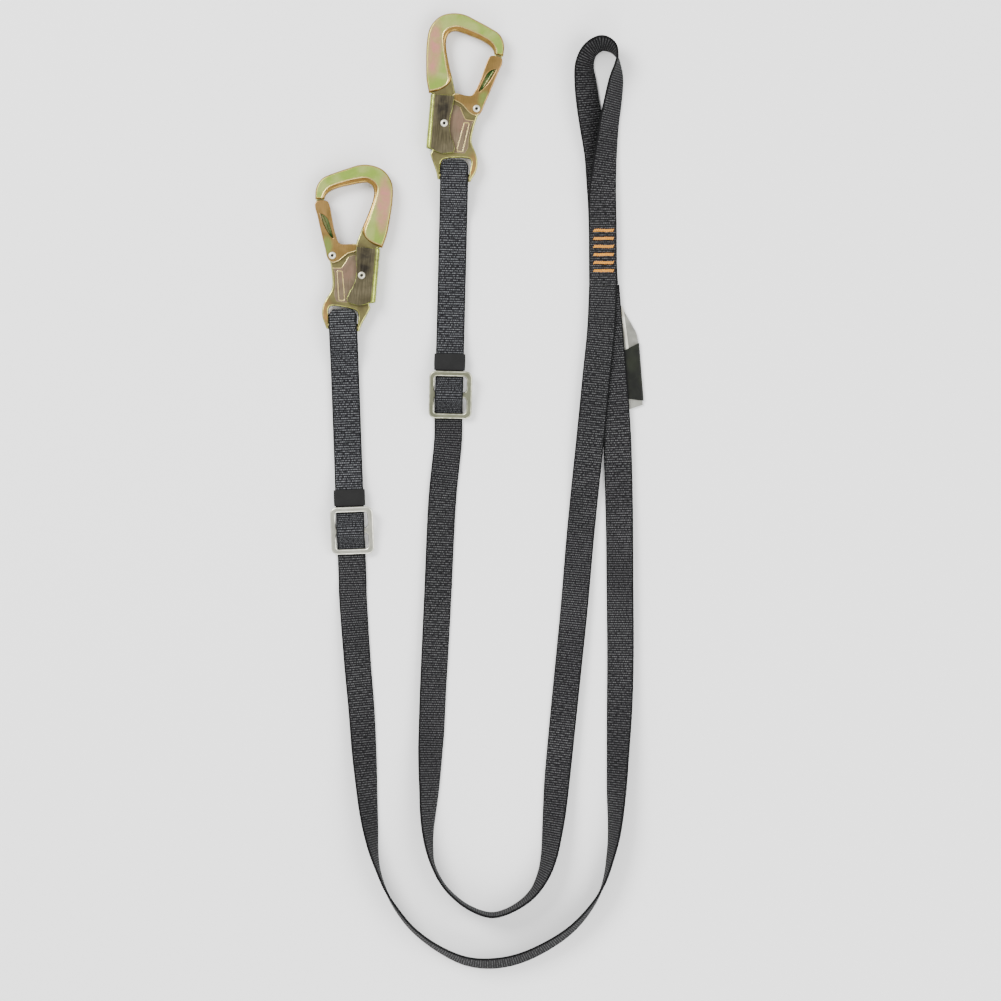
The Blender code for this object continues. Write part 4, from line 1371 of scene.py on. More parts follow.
@dataclass
class Buckle:
    """A three-bar slide buckle, the keeper above it, and the heights that the web takes through them."""

    length: float = 0.043
    side_bar: float = 0.0050
    cross_bar: float = 0.0048
    thick: float = 0.0030
    room: float = 0.0035
    shift: float = 0.0014
    keeper_length: float = 0.0145
    keeper_wall: float = 0.0012
    drawn_in: float = 0.00025  # how far the keeper's ends are drawn in
    bar_gap: float = 0.0008  # from the upper bar to where the web lies flat
    slack: float = 0.0112  # how far the strap's loop stands off the eye's bar
    front_fall: float = 0.030  # lengths over which the strap's layers come down and rise again
    front_rise: float = 0.045
    back_fall: float = 0.022
    back_rise: float = 0.020

    @property
    def land(self) -> float:
        """Distance from the middle bar to where the web lies flat under the upper bar."""
        return self.reach - self.cross_bar / 2 - self.bar_gap

    @property
    def back(self) -> float:
        """Height of the lowest of the three layers in the keeper."""
        return self.keeper_wall + GAP + WEB_THICK / 2

    @property
    def front(self) -> float:
        """Height of the top layer in the keeper."""
        return self.back + 2 * LAYER

    @property
    def reach(self) -> float:
        """Distance from the middle bar to each end bar."""
        return (self.length - self.cross_bar) / 2

    @property
    def tilt(self) -> float:
        """Angle that the buckle leans by, as its top end lies on the webs."""
        top, low = self.front + WEB_THICK / 2 + GAP, WEB_THICK + 2 * GAP
        return math.asin((top - low) / (2 * self.reach))

    @property
    def height(self) -> float:
        """Height of the middle of its middle bar."""
        top, low = self.front + WEB_THICK / 2 + GAP, WEB_THICK + 2 * GAP
        return (top + low) / 2 + self.thick / 2 + self.cross_bar / 2 * math.sin(self.tilt) + GAP

    @property
    def keeper_start(self) -> float:
        """Distance from the middle bar to the keeper."""
        return self.length / 2 + 2 * GAP

    @property
    def keeper_end(self) -> float:
        """Distance from the middle bar to the keeper's far end."""
        return self.keeper_start + self.keeper_length

    def frame_mesh(self) -> Mesh:
        """Build the steel frame: two windows with round corners and a waisted middle bar.

        Returns:
            The frame's mesh.
        """
        wide, window = WEB_WIDTH + self.room, (self.length - 3 * self.cross_bar) / 2
        right, top = wide / 2 + self.side_bar, self.length / 2
        outline = rounded_box(right, top, 0.0060)
        holes = []
        for way in (-1, 1):
            middle = way * (self.cross_bar + window) / 2
            corners = [
                (-wide / 2, middle - window / 2, 0.0020), (wide / 2, middle - window / 2, 0.0034),
                (wide / 2, middle + window / 2, 0.0034), (-wide / 2, middle + window / 2, 0.0020),
            ]
            holes.append(rounded(corners)[::-1])
        return slab(outline, -self.thick / 2, self.thick / 2, 0.0011, holes)

    def keeper_mesh(self) -> Mesh:
        """Build the keeper: a soft sleeve with a wall, drawn in slightly at both ends.

        Returns:
            The keeper's mesh.
        """
        inner_high, inner_wide = 3 * WEB_THICK + 4 * GAP, WEB_WIDTH + 2 * GAP
        section = rounded_box(inner_wide / 2 + self.keeper_wall, inner_high / 2 + self.keeper_wall, 0.0022, 6)

        def place(column: int, point: Vector, share: float, inside: bool) -> tuple[Vector, float, float]:
            """Place one point of the keeper."""
            pull = 0.0 if inside else self.drawn_in * (1 - math.sin(math.pi * share)) ** 2
            size = 1 - pull / 0.012
            along = self.keeper_length * (share - 0.5)
            return Vector((point.x * size, along, point.y * size)), column * 0.001, along

        return sleeve(section, self.keeper_wall, (0.0, 0.03, 0.12, 0.5, 0.88, 0.97, 1.0), place)

    def strap_line(self, eye_at: float, hook_height: float) -> list[Vector]:
        """Return the strap from its side, from under the lowest bar round the hook's eye to its sewn end.

        Args:
            eye_at: distance from the middle bar to the eye's bar.
            hook_height: height of the eye's bar.

        Returns:
            Points of distance along the strap's frame and height.
        """
        middle = (0.0, self.height)
        wrap_radius = math.hypot(self.cross_bar, self.thick) / 2 + GAP + WEB_THICK / 2
        land = self.land
        over, wrap = arc(middle, wrap_radius + LAYER, 150, 58), arc(middle, wrap_radius, 270, 52)
        bar = EYE_BAR
        inner = bar + 2 * GAP + WEB_THICK / 2
        front, back = hook_height + inner, hook_height - inner
        lie_back, lie_front = WEB_THICK / 2 + GAP, WEB_THICK * 1.5 + 2 * GAP
        tip, around = eye_at + bar + self.slack, eye_at + bar
        end, tail_land, tail = self.keeper_end, land - 1.5 * WEB_THICK, self.back + LAYER
        start = (-self.reach, GAP + WEB_THICK / 2)
        points = [
            start, *bend(start, 0, over[0], 60), *over, *bend(over[-1], -32, (land, self.front), 0),
            (land, self.front), (end, self.front),
            *bend((end, self.front), 0, (end + self.front_fall, lie_front), 0),
            (end + self.front_fall, lie_front), (eye_at - self.front_rise, lie_front),
            *bend((eye_at - self.front_rise, lie_front), 0, (eye_at - bar, front), 0), (eye_at - bar, front),
            (around, front),
            *bend((around, front), 0, (tip, hook_height), -90, 0.5), (tip, hook_height),
            *bend((tip, hook_height), -90, (around, back), 180, 0.5), (around, back), (eye_at - bar, back),
            *bend((eye_at - bar, back), 180, (eye_at - self.back_fall, lie_back), 180),
            (eye_at - self.back_fall, lie_back),
            (end + self.back_rise, lie_back),
            *bend((end + self.back_rise, lie_back), 180, (end, self.back), 180),
            (end, self.back), (land, self.back), *bend((land, self.back), 180, wrap[0], 180), *wrap,
            *bend(wrap[-1], -38, (tail_land, tail), 0), (tail_land, tail),
            (self.keeper_start + self.keeper_length / 2 - 0.002, tail),
        ]
        return [Vector(point) for point in points]


def strap_rows(line: Sequence[Vector], place: SideFrame) -> list[WebRow]:
    """Return the rings of a web seen from its side.

    Args:
        line: points of distance along the strap's frame and height.
        place: the leg's frame.

    Returns:
        Rings, RINGS_PER_RIB to a rib.
    """
    spots = evenly(line)
    tip = max(point.x for point in line)
    made = []
    for i, (along, spot) in enumerate(spots):
        heading = (spots[min(i + 2, len(spots) - 1)][1] - spots[max(i - 2, 0)][1]).normalized()
        centre = place.origin + place.along * spot.x + Vector((0, 0, spot.y))
        out = Vector((0, 0, heading.x)) - place.along * heading.y
        drawn = max(0.0, 1 - (tip - spot.x) / 0.0055)
        made.append(WebRow(centre, place.across, out, along, 1 - 0.30 * drawn**2))
    return made


@dataclass
class Tack:
    """A bar tack: a zigzag of thread over a few straight runs."""

    length: float = 0.0175
    width: float = 0.0024
    strokes: int = 21
    thread: float = 0.00032
    faded: float = 0.0  # share of its length, from the left, where the thread has worn away

    def mesh(self, top: float, seed: int = 0) -> Mesh:
        """Sew the tack flat, its underside at height top.

        Args:
            top: height of what it is sewn on.
            seed: sets how its strokes stray.

        Returns:
            The tack's mesh.
        """
        lift = top + self.thread * 0.5
        points = []
        for k in range(self.strokes + 1):
            share = k / self.strokes
            way = 1 if k % 2 else -1
            jitter = 0.00022 * math.sin(12.9 * k + 3.1 * seed) + 0.00012 * math.sin(5.3 * k + seed)
            reach = self.width / 2 * (0.45 if share < self.faded else 1.0)
            points.append(Vector(((share - 0.5) * self.length + way * 0.0003, way * reach + jitter, lift)))
        path = []
        for p, q in zip(points, points[1:]):
            for t in (0.0, 0.12, 0.3, 0.5, 0.7, 0.88):
                here = p.lerp(q, t)
                here.z += 0.00042 * math.sin(math.pi * t) ** 0.5 if 0 < t < 1 else 0.0
                path.append(here)
        path.append(points[-1])
        meshes = [tube(path, self.thread, 6, 0.8)]
        for row in (-0.3, 0.3):
            run = [
                Vector(((t - 0.5) * self.length * 0.97, row * self.width, lift + 0.0001 * math.sin(40 * t)))
                for t in (i / 12 for i in range(13))
            ]
            meshes.append(tube(run, self.thread * 0.9, 6, 0.8))
        return joined(meshes, "tack")


@dataclass
class Webbing:
    """The end loop, the legs, the straps of the hooks and their stitching."""

    finishes: Finishes
    buckle: Buckle
    tack_pitch: float = 0.0072
    end_tack_pitch: float = 0.0051

    def loop(self) -> Object:
        """Build the twisted end loop.

        Returns:
            The loop's object.
        """
        made = piece("loop_web", Web().mesh(lying_rows(LOOP_ROUTE)), self.finishes.leg_web)
        tie(made, Body.WEBBING.value, "webbing", "end_loop")
        return made

    def leg(self, route: Sequence[Point], place: SideFrame) -> None:
        """Build one leg in two pieces: the long one rides on the webbing's body, the short end by the buckle
        on none.

        Args:
            route: the points that the leg lies on.
            place: the frame of its buckle.
        """
        key = place.side.value
        ends = []
        for reach in (-self.buckle.reach - WEB_WIDTH, -self.buckle.reach - 0.0004):
            spot = place.origin + place.along * reach
            ends.append((spot.x, spot.y, 0, GAP))
        rows = lying_rows([*route, *ends])
        count = round(rows[-1].along / 0.020)
        cut = len(rows) - 1 - round((len(rows) - 1) * 5 / count)
        long, short = rows[: cut + 1], rows[cut:]
        leg = piece(f"leg_web_{key}", Web().mesh(long), self.finishes.leg_web)
        end = piece(f"leg_web_end_{key}", Web().mesh(short), self.finishes.leg_web)
        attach(leg, Body.WEBBING.value)
        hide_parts(f"leg_{key}")
        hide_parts(f"leg_end_{key}")
        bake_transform(end)

    def strap(self, place: SideFrame) -> None:
        """Build the strap between a buckle and its hook, as one continuous web.

        Args:
            place: the leg's frame.
        """
        key = place.side.value
        line = self.buckle.strap_line(place.strap_length, place.hook_pivot.z)
        made = piece(f"strap_web_{key}", Web().mesh(strap_rows(line, place)), self.finishes.hook_web)
        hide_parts(f"running_web_{key}", f"hook_strap_{key}", f"sewn_end_{key}")
        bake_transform(made)

    def stitching(self, places: Sequence[SideFrame]) -> None:
        """Sew the six tacks of the joint and the two that hold each strap's end.

        Args:
            places: the frames of both legs.
        """
        top = LOOP_ROUTE[-1][3] + WEB_THICK
        for k in range(6):
            tack = Tack(faded=0.32 if k == 5 else 0.0)
            spot = Matrix.Translation((JOINT_X, JOINT_TOP - k * self.tack_pitch, 0))
            made = piece(f"tack_{k + 1}", tack.mesh(top, k), self.finishes.thread, spot)
            tie(made, Body.WEBBING.value, "tack_thread", f"joint_tack_{k + 1}")
        for place in places:
            key = place.side.value
            for k in range(2):
                mesh = Tack().mesh(WEB_THICK / 2 - self.buckle.back, k)
                mesh.transform(Matrix.Rotation(math.pi, 4, "Y"))
                spot = place.matrix() @ Matrix.Translation((0, self.buckle.land - k * self.end_tack_pitch, 0))
                made = piece(f"end_tack_thread_{key}_{k + 1}", mesh, self.finishes.thread, spot)
                tie(made, f"adjuster_{key}", "tack_thread", f"end_tack_{key}_{k + 1}")

    def hardware(self, place: SideFrame) -> None:
        """Build the buckle's frame and the keeper of one leg.

        Args:
            place: the leg's frame.
        """
        key = place.side.value
        lean = Matrix.Translation((self.buckle.shift, 0,
                                   self.buckle.height)) @ Matrix.Rotation(self.buckle.tilt, 4, "X")
        frame = piece(f"buckle_frame_{key}", self.buckle.frame_mesh(), self.finishes.nickel[place.side],
                      place.matrix() @ lean)
        tie(frame, f"adjuster_{key}", "buckle_steel", f"buckle_{key}")
        middle = (self.buckle.keeper_start + self.buckle.keeper_end) / 2
        high = self.buckle.keeper_wall + (3 * WEB_THICK + 4 * GAP) / 2
        spot = place.matrix() @ Matrix.Translation((0, middle, high))
        keeper = piece(f"keeper_sleeve_{key}", self.buckle.keeper_mesh(), self.finishes.sleeve, spot)
        tie(keeper, f"keeper_{key}", "keeper", f"keeper_{key}")


# ---- Label ----
@dataclass
class Label:
    """The folded identity label under the joint, and the black sleeve that covers it."""

    finishes: Finishes
    centre: tuple[float, float] = (0.1306, -0.0792)
    lean: float = math.radians(4.5)
    cover_length: float = 0.052
    cover_width: float = 0.0284
    wall: float = 0.0008
    film: float = 0.0008
    end: float = 0.010
    tail: float = 0.014

    @property
    def low(self) -> float:
        """Height of the film's underside."""
        return self.wall + 2 * GAP

    def spot(self, across: float, along: float) -> Vector:
        """Return a place given across and along the label from the middle of its cover.

        Args:
            across: distance across the label.
            along: distance along it.

        Returns:
            The place in plan.
        """
        way = Vector((-math.sin(self.lean), math.cos(self.lean)))
        return Vector(self.centre) + Vector((way.y, -way.x)) * across + way * along

    def build(self) -> None:
        """Build the folded film and its cover."""
        half = self.cover_width / 2 - self.wall - GAP
        reach = self.cover_length / 2 + self.end
        left, right = JOINT_X - self.tail / 2, JOINT_X + self.tail / 2
        outline = flowing([
            (left, JOINT_TOP, 0), (left, 0.0, 0), (*self.spot(-half, reach - 0.012),),
            (*self.spot(-half, 0.0),),
            (*self.spot(-half, -reach), 0), (*self.spot(half, -reach + 0.0065), 0), (*self.spot(half, 0.0),),
            (*self.spot(half, reach - 0.006),), (*self.spot(half - 0.004, reach + 0.006),), (0.1262, -0.0185),
            (right, 0.0, 0), (right, JOINT_TOP, 0),
        ], 0.002)
        film = slab(outline, self.low, self.low + self.film / 2, 0.0001, segments=2)
        fold = half - 0.0085
        top = flowing([
            (*self.spot(-half, reach - 0.012), 0), (*self.spot(-half, -reach), 0),
            (*self.spot(fold, -reach + 0.0046), 0),
            (*self.spot(fold - 0.001, reach - 0.010),), (*self.spot(fold - 0.006, reach + 0.020), 0),
        ], 0.002)
        folded = slab(top, self.low + self.film / 2 + 0.00005, self.low + self.film, 0.00015, segments=2)
        made = piece("label_film", joined([film, folded], "label_film"), self.finishes.label)
        # A pale flattened tube along the fold: painted highlight on its ridge.
        line = flowing([(0.1262, -0.0200), (0.1276, -0.0240), (0.1293, -0.0360), (0.1312, -0.0500),
                        (0.1324, -0.0600)], 0.002, False)
        crease = tube([Vector((p.x, p.y, self.low + self.film)) for p in line], 0.0014, 12, 0.28)
        crease = piece("label_fold_highlight", crease, self.finishes.fold)
        tie(crease, Body.WEBBING.value, "label")
        tie(made, Body.WEBBING.value, "label", "label_strip")
        cover = piece("label_sleeve", self.sleeve_mesh(), self.finishes.cover)
        tie(cover, Body.LABEL_COVER.value, "label_cover", "label_cover")

    def sleeve_mesh(self) -> Mesh:
        """Build the sleeve: a flattened tube with slanting ends and a crease along each side.

        Returns:
            The sleeve's mesh.
        """
        half_wide, half_high = self.cover_width / 2, self.film / 2 + GAP + self.wall
        section = rounded_box(half_wide, half_high, half_high * 0.9, 6)
        middle = self.low + self.film / 2

        def place(column: int, point: Vector, share: float, inside: bool) -> tuple[Vector, float, float]:
            """Place one point of the cover."""
            side = point.x / half_wide
            top = self.cover_length / 2 - 0.0060 + 0.0060 * side
            bottom = -self.cover_length / 2 + 0.0030 - 0.0030 * side
            along = bottom + (top - bottom) * share
            spot = self.spot(point.x, along)
            return Vector((spot.x, spot.y, middle + point.y)), point.x, along

        return sleeve(section, self.wall * 0.9, (0.0, 0.02, 0.25, 0.5, 0.75, 0.98, 1.0), place)


# ---- Hook, in its own frame: the eye's bar is on X and the hook's length along Y ----
@dataclass
class Hook:
    """A forged hook with a gate and a lock lever."""

    finishes: Finishes
    place: SideFrame
    bow_half: float = 0.0055
    plate_half: float = 0.0035
    gate_inner: float = 0.0038
    gate_outer: float = 0.0056
    lever_outer: float = 0.0074
    lever_sheet: float = 0.0014
    eye_half: float = 0.0142
    eye_bar: float = EYE_BAR
    gate_pivot: tuple[float, float] = (0.0147, 0.0621)
    lever_pivot: tuple[float, float] = (-0.0129, 0.0466)

    def bow_outline(self) -> list[Vector]:
        """Return the outline of the thick forged bow."""
        return flowing([
            (-0.0289, 0.0727, 0), *BOW_BACK, (0.0344, 0.1110, 0), (0.0262, 0.1118, 0), (0.0253, 0.1150),
            (0.0215, 0.1192), (0.0143, 0.1230), (0.0049, 0.1260),
            (-0.0033, 0.1284), (-0.0103, 0.1296), (-0.0152, 0.1272), (-0.0174, 0.1216), (-0.0170, 0.1147),
            (-0.0149, 0.1058), (-0.0119, 0.0958), (-0.0101, 0.0902), (-0.0104, 0.0844), (-0.0140, 0.0796),
            (-0.0205, 0.0752),
        ])

    def bead_line(self) -> list[Vector]:
        """Return the line of the raised bead round the inner side of the bow's face, and round its cheek."""
        return flowing([
            (0.0287, 0.1124), (0.0268, 0.1183), (0.0223, 0.1234), (0.0146, 0.1273), (0.0067, 0.1304),
            (-0.0022, 0.1331), (-0.0077, 0.1342), (-0.0125, 0.1335), (-0.0172, 0.1311), (-0.0202, 0.1273),
            (-0.0208, 0.1224), (-0.0195, 0.1138), (-0.0175, 0.1053), (-0.0154, 0.0968), (-0.0135, 0.0904),
            (-0.0127, 0.0861), (-0.0141, 0.0817), (-0.0179, 0.0787), (-0.0234, 0.0763), (-0.0285, 0.0752),
        ], 0.0009, False)

    def face_outline(self) -> list[Vector]:
        """Return the outline of the bow's face, between the bead and the outer rim."""
        outer = beside(flowing([(-0.0298, 0.0758), *BOW_BACK, (0.0345, 0.1122)], 0.0011, False), -0.0010)
        return outer + self.bead_line()

    def plate_outline(self) -> list[Vector]:
        """Return the outline of the plate with the two limbs of the eye."""
        return flowing([
            (-0.0246, 0.0700, 0), (-0.0250, 0.0722, 0), (-0.0280, 0.0730, 0), (-0.0285, 0.0800, 0),
            (-0.0150, 0.0920, 0), (-0.0098, 0.0900, 0), (-0.0062, 0.0775), (-0.0040, 0.0722),
            (0.0050, 0.0705),
            (0.0160, 0.0720), (0.0236, 0.0756, 0), (0.0214, 0.0690), (0.0188, 0.0629), (0.0156, 0.0536),
            (0.0136, 0.0443), (0.0126, 0.0361), (0.0134, 0.0305), (0.0165, 0.0245), (0.0192, 0.0179),
            (0.0198, 0.0110), (0.0184, 0.0050), (0.0160, 0.0000), (0.0148, -0.0030, 0), (0.0129, -0.0030, 0),
            (0.0131, 0.0050), (0.0140, 0.0118), (0.0138, 0.0152), (0.0110, 0.0176), (0.0010, 0.0173),
            (-0.0100, 0.0152), (-0.0129, 0.0112), (-0.0130, 0.0050), (-0.0129, -0.0030, 0),
            (-0.0148, -0.0030, 0),
            (-0.0165, 0.0034), (-0.0199, 0.0110), (-0.0229, 0.0182), (-0.0222, 0.0203), (-0.0216, 0.0226),
            (-0.0218, 0.0250), (-0.0222, 0.0280), (-0.0228, 0.0320),
            (-0.0240, 0.0420), (-0.0243, 0.0500),
        ], 0.0013)

    def gate_outline(self) -> list[Vector]:
        """Return the outline of the gate's sheets."""
        return flowing([
            (0.0223, 0.1091), (0.0262, 0.1105), (0.0320, 0.1093), (0.0340, 0.1070), (0.0336, 0.1032),
            (0.0309, 0.0960), (0.0291, 0.0901), (0.0264, 0.0819), (0.0240, 0.0745), (0.0214, 0.0670),
            (0.0196, 0.0610), (0.0172, 0.0575), (0.0140, 0.0560), (0.0108, 0.0566), (0.0072, 0.0591),
            (0.0034, 0.0634), (-0.0003, 0.0659), (-0.0049, 0.0675), (-0.0074, 0.0695), (-0.0076, 0.0718),
            (-0.0055, 0.0737), (-0.0009, 0.0738), (0.0048, 0.0730), (0.0094, 0.0736), (0.0124, 0.0785),
            (0.0152, 0.0856), (0.0178, 0.0949), (0.0200, 0.1031),
        ])

    def both_faces(self, outline: Sequence[Vector], low: float, high: float, rim: float,
                   holes: Sequence[Sequence[Vector]] = ()) -> list[Mesh]:
        """Return the same plate on both faces of the hook, between two heights from its middle plane."""
        return [slab(outline, low, high, rim, holes), slab(outline, -high, -low, rim, holes)]

    def beads(self, line: Sequence[Vector], height: float, radius: float, around: int = 8) -> list[Mesh]:
        """Return a raised bead along a line on both faces of the hook.

        Args:
            line: its middle line.
            height: how far its middle is from the hook's middle plane.
            radius: its radius.
            around: faces round it.

        Returns:
            The two beads.
        """
        paths = [[Vector((p.x, p.y, way * height)) for p in line] for way in (-1, 1)]
        return [with_flat_map(tube(path, radius, around)) for path in paths]

    def add(self, name: str, meshes: Sequence[Mesh], material: Material, body: str, slot: str,
            *nodes: str) -> None:
        """Join meshes into one piece of the hook and tie it to its body.

        Args:
            name: the piece's name without its side.
            meshes: its meshes in the hook's frame.
            material: its finish.
            body: the CAD body that it rides on, without its side.
            slot: the record's material slot.
            nodes: the CAD nodes that it stands for, without their side.
        """
        key = self.place.side.value
        made = piece(f"{name}_{key}", joined(list(meshes), name), material, self.place.hook_matrix())
        tie(made, f"{body}_{key}", slot, *[f"{node}_{key}" for node in nodes])

    def build_body(self) -> None:
        """Build the forging: bow, beads, plate, eye bar and embossed panels."""
        finishes, outline = self.finishes, self.bow_outline()
        bow = [slab(outline, -self.bow_half + 0.0007, self.bow_half - 0.0007, 0.0021, segments=5)]
        self.add("bow", bow, finishes.rim, "hook", "zinc_body", "hook_body")
        faces = self.both_faces(self.face_outline(), self.bow_half - 0.0018, self.bow_half, 0.0006)
        self.add("bow_face", faces, finishes.bow, "hook", "zinc_body")
        beads = self.beads(self.bead_line(), self.bow_half - 0.0007, 0.0007, 10)
        self.add("bow_bead", beads, finishes.bead, "hook", "zinc_body")

        plate = [slab(self.plate_outline(), -self.plate_half, self.plate_half, 0.0011)]
        half = self.eye_half
        bar = turned([(0, -half), (self.eye_bar - 0.0006, -half), (self.eye_bar, -half + 0.0008),
                      (self.eye_bar, half - 0.0008), (self.eye_bar - 0.0006, half), (0, half)], 24)
        bar.transform(Matrix.Rotation(math.pi / 2, 4, "Y"))
        tongue = rounded([(0.0268, 0.1180, 0.0), (0.0262, 0.1010, 0.003), (0.0325, 0.1000, 0.003),
                          (0.0342, 0.1180, 0.0)])
        plate += [bar, slab(tongue, -self.plate_half + 0.0004, self.plate_half - 0.0004, 0.0008)]
        self.add("plate", plate, finishes.plate, "hook", "zinc_body")

        step = flowing([
            (-0.0200, 0.0640, 0), (-0.0040, 0.0640, 0), (0.0007, 0.0614), (0.0030, 0.0562), (0.0055, 0.0521),
            (0.0090, 0.0514), (0.0128, 0.0512, 0), (0.0108, 0.0440), (0.0100, 0.0350), (0.0100, 0.0270),
            (0.0075, 0.0215, 0), (-0.0150, 0.0215, 0), (-0.0200, 0.0330, 0),
        ])
        pocket = rounded([(0.0007, 0.0236, 0.001), (0.0052, 0.0234, 0.001), (0.0090, 0.0486, 0.001),
                          (0.0052, 0.0484, 0.001)])
        frame = rounded([(-0.0002, 0.0226, 0.0014), (0.0060, 0.0224, 0.0014), (0.0099, 0.0496, 0.0014),
                         (0.0044, 0.0494, 0.0014)])
        panels = self.both_faces(step, self.plate_half - 0.0004, self.plate_half + 0.00012, 0.0002)
        self.add("panel", panels, finishes.panel, "hook", "zinc_body")
        marks = self.both_faces(frame, self.plate_half - 0.0002, self.plate_half + 0.00026, 0.00018,
                                [pocket[::-1]])
        edge_path = [(0.0001, 0.0622), (0.0024, 0.0574), (0.0050, 0.0528), (0.0062, 0.0518), (0.0095, 0.0514),
                     (0.0136, 0.0512)]
        marks += self.beads(flowing(edge_path, 0.0009, False), self.plate_half - 0.00026, 0.0005)
        self.add("panel_edges", marks, finishes.bead, "hook", "zinc_body")

    def build_gate(self) -> None:
        """Build the gate: two sheets joined along the inner edge, with a pressed opening in each."""
        outline = self.gate_outline()
        window = flowing([
            (0.0290, 0.0985), (0.0272, 0.0935), (0.0236, 0.0868), (0.0192, 0.0806), (0.0158, 0.0772),
            (0.0150, 0.0778), (0.0166, 0.0826), (0.0192, 0.0892), (0.0214, 0.0940), (0.0252, 0.0975),
        ], 0.0008)
        sheets = self.both_faces(outline, self.gate_inner, self.gate_outer, 0.00055, [window[::-1]])
        closing = flowing([
            (0.0223, 0.1083), (0.0262, 0.1095, 0), (0.0240, 0.1050), (0.0212, 0.0960), (0.0180, 0.0860),
            (0.0150, 0.0785), (0.0130, 0.0774, 0), (0.0128, 0.0790), (0.0158, 0.0858), (0.0184, 0.0950),
            (0.0206, 0.1028),
        ])
        sheets.append(slab(closing, -self.gate_inner - 0.0002, self.gate_inner + 0.0002, 0.0002, segments=2))
        self.add("gate_sheets", sheets, self.finishes.gate, "gate", "zinc_gate", "gate")
        lobe = flowing([
            (-0.0020, 0.0736), (-0.0055, 0.0735), (-0.0074, 0.0716), (-0.0071, 0.0694), (-0.0045, 0.0677),
            (0.0003, 0.0657), (0.0038, 0.0630), (0.0078, 0.0590), (0.0112, 0.0569), (0.0142, 0.0563),
            (0.0170, 0.0577),
        ], 0.0008, False)
        edges = self.beads(lobe, self.gate_outer - 0.0003, 0.00055)
        self.add("gate_edge", edges, self.finishes.bead, "gate", "zinc_gate")
        tongue = flowing([
            (0.0290, 0.1000), (0.0272, 0.0930), (0.0235, 0.0850), (0.0195, 0.0782), (0.0146, 0.0764),
            (0.0176, 0.0880),
            (0.0215, 0.0990),
        ])
        # The core, seen through the gate's windows, is dark as painted shade in that recess.
        core = [slab(tongue, -0.0026, 0.0026, 0.0012)]
        rib = [Vector((0.0190 + 0.0075 * t, 0.0815 + 0.0150 * t)) for t in (k / 8 for k in range(9))]
        core += self.beads(rib, 0.0032, 0.0008)
        self.add("gate_core", core, self.finishes.core, "gate", "zinc_gate")

    def build_lever(self) -> None:
        """Build the lock lever: one sheet folded round the spine of the hook."""
        spine, radius, sheet = -0.0272, 0.0034, self.lever_sheet
        right_side = [(0.0196, -0.0034), (0.0217, -0.0021), (0.0250, -0.0015), (0.0300, -0.0032),
                      (0.0360, -0.0060),
                      (0.0430, -0.0079), (0.0515, -0.0080), (0.0600, -0.0065), (0.0680, -0.0058),
                      (0.0716, -0.0062)]
        bottom = [(-0.0285, 0.0240), (-0.0235, 0.0234), (-0.0170, 0.0206), (-0.0123, 0.0195),
                  (-0.0070, 0.0203), (-0.0020, 0.0216)]
        columns, rows = 64, 40
        outer = self.lever_outer
        flat_share = 0.36  # of the columns, for each of the two cheeks

        def surface(column: int, row: int) -> tuple[Vector, float, float]:
            """Place one point of the folded sheet's outer face."""
            share, level = column / columns, row / rows
            side = 1.0 if share < 0.5 else -1.0
            fold = min(share, 1 - share)
            guess = 0.0215 + level * 0.0490
            right = read(right_side, guess)
            if fold < flat_share:
                x = right + (spine + radius - right) * fold / flat_share
                z = outer
            else:
                turn = (fold - flat_share) / (0.5 - flat_share) * (math.pi / 2 * radius + outer - radius)
                angle = min(math.pi / 2, turn / radius)
                x = spine + radius - radius * math.sin(angle)
                z = outer - radius + radius * math.cos(angle) - max(0.0, turn - math.pi / 2 * radius)
            low, high = read(bottom, x), 0.0716 + (x - spine) * 0.02
            return Vector((x, low + (high - low) * level, side * z)), x, low + (high - low) * level

        bm = wrapped_grid(columns, rows, surface, False)
        bmesh.ops.recalc_face_normals(bm, faces=bm.faces)
        middle = min(bm.faces, key=lambda face: face.calc_center_median().x)
        if middle.normal.x > 0:
            bmesh.ops.reverse_faces(bm, faces=bm.faces)
        bmesh.ops.solidify(bm, geom=bm.faces[:], thickness=sheet)
        bmesh.ops.recalc_face_normals(bm, faces=bm.faces)
        for face in bm.faces:
            face.smooth = True
        sharp = [edge for edge in bm.edges if edge.calc_face_angle(0.0) > math.radians(60)]
        rims = set(bmesh.ops.bevel(
            bm, geom=sharp, offset=0.0003, offset_type="OFFSET", segments=3, profile=0.5,
            affect="EDGES", material=-1,
        )["faces"])
        for edge in bm.edges:
            edge.smooth = edge.calc_face_angle(0.0) < math.radians(35)

        def wear_and_highlight_mask(face: BMFace) -> float:
            """Return 1 on a rim, for rubbed wear and painted highlight, and elsewhere how far a face lies on
            the rolled spine, for the painted highlight along it.
            """
            return 1.0 if face in rims else min(1.0,
                                                max(0.0, (-0.0230 - face.calc_center_median().x) / 0.0010))

        mark_flat(bm, wear_and_highlight_mask)
        self.add("lever_sheet", [as_mesh(bm, "lever")], self.finishes.lever, "lever", "zinc_lever",
                 "lock_lever")

    def build_rivets(self) -> None:
        """Build the two tubular rivets."""
        for name, pivot, outer in (("gate_rivet", self.gate_pivot, self.gate_outer),
                                   ("lever_rivet", self.lever_pivot, self.lever_outer)):
            seat = outer + GAP
            half = [
                (0.0, seat - 0.0004), (0.00125, seat - 0.0004), (0.00130, seat + 0.0006),
                (0.0016, seat + 0.0010),
                (0.0019, seat + 0.00115), (0.0026, seat + 0.0010), (0.0031, seat + 0.0006),
                (0.0033, seat + 0.0001),
                (0.0032, seat), (0.0026, seat),
            ]
            mesh = turned(half + [(x, -z) for x, z in reversed(half)], 36)
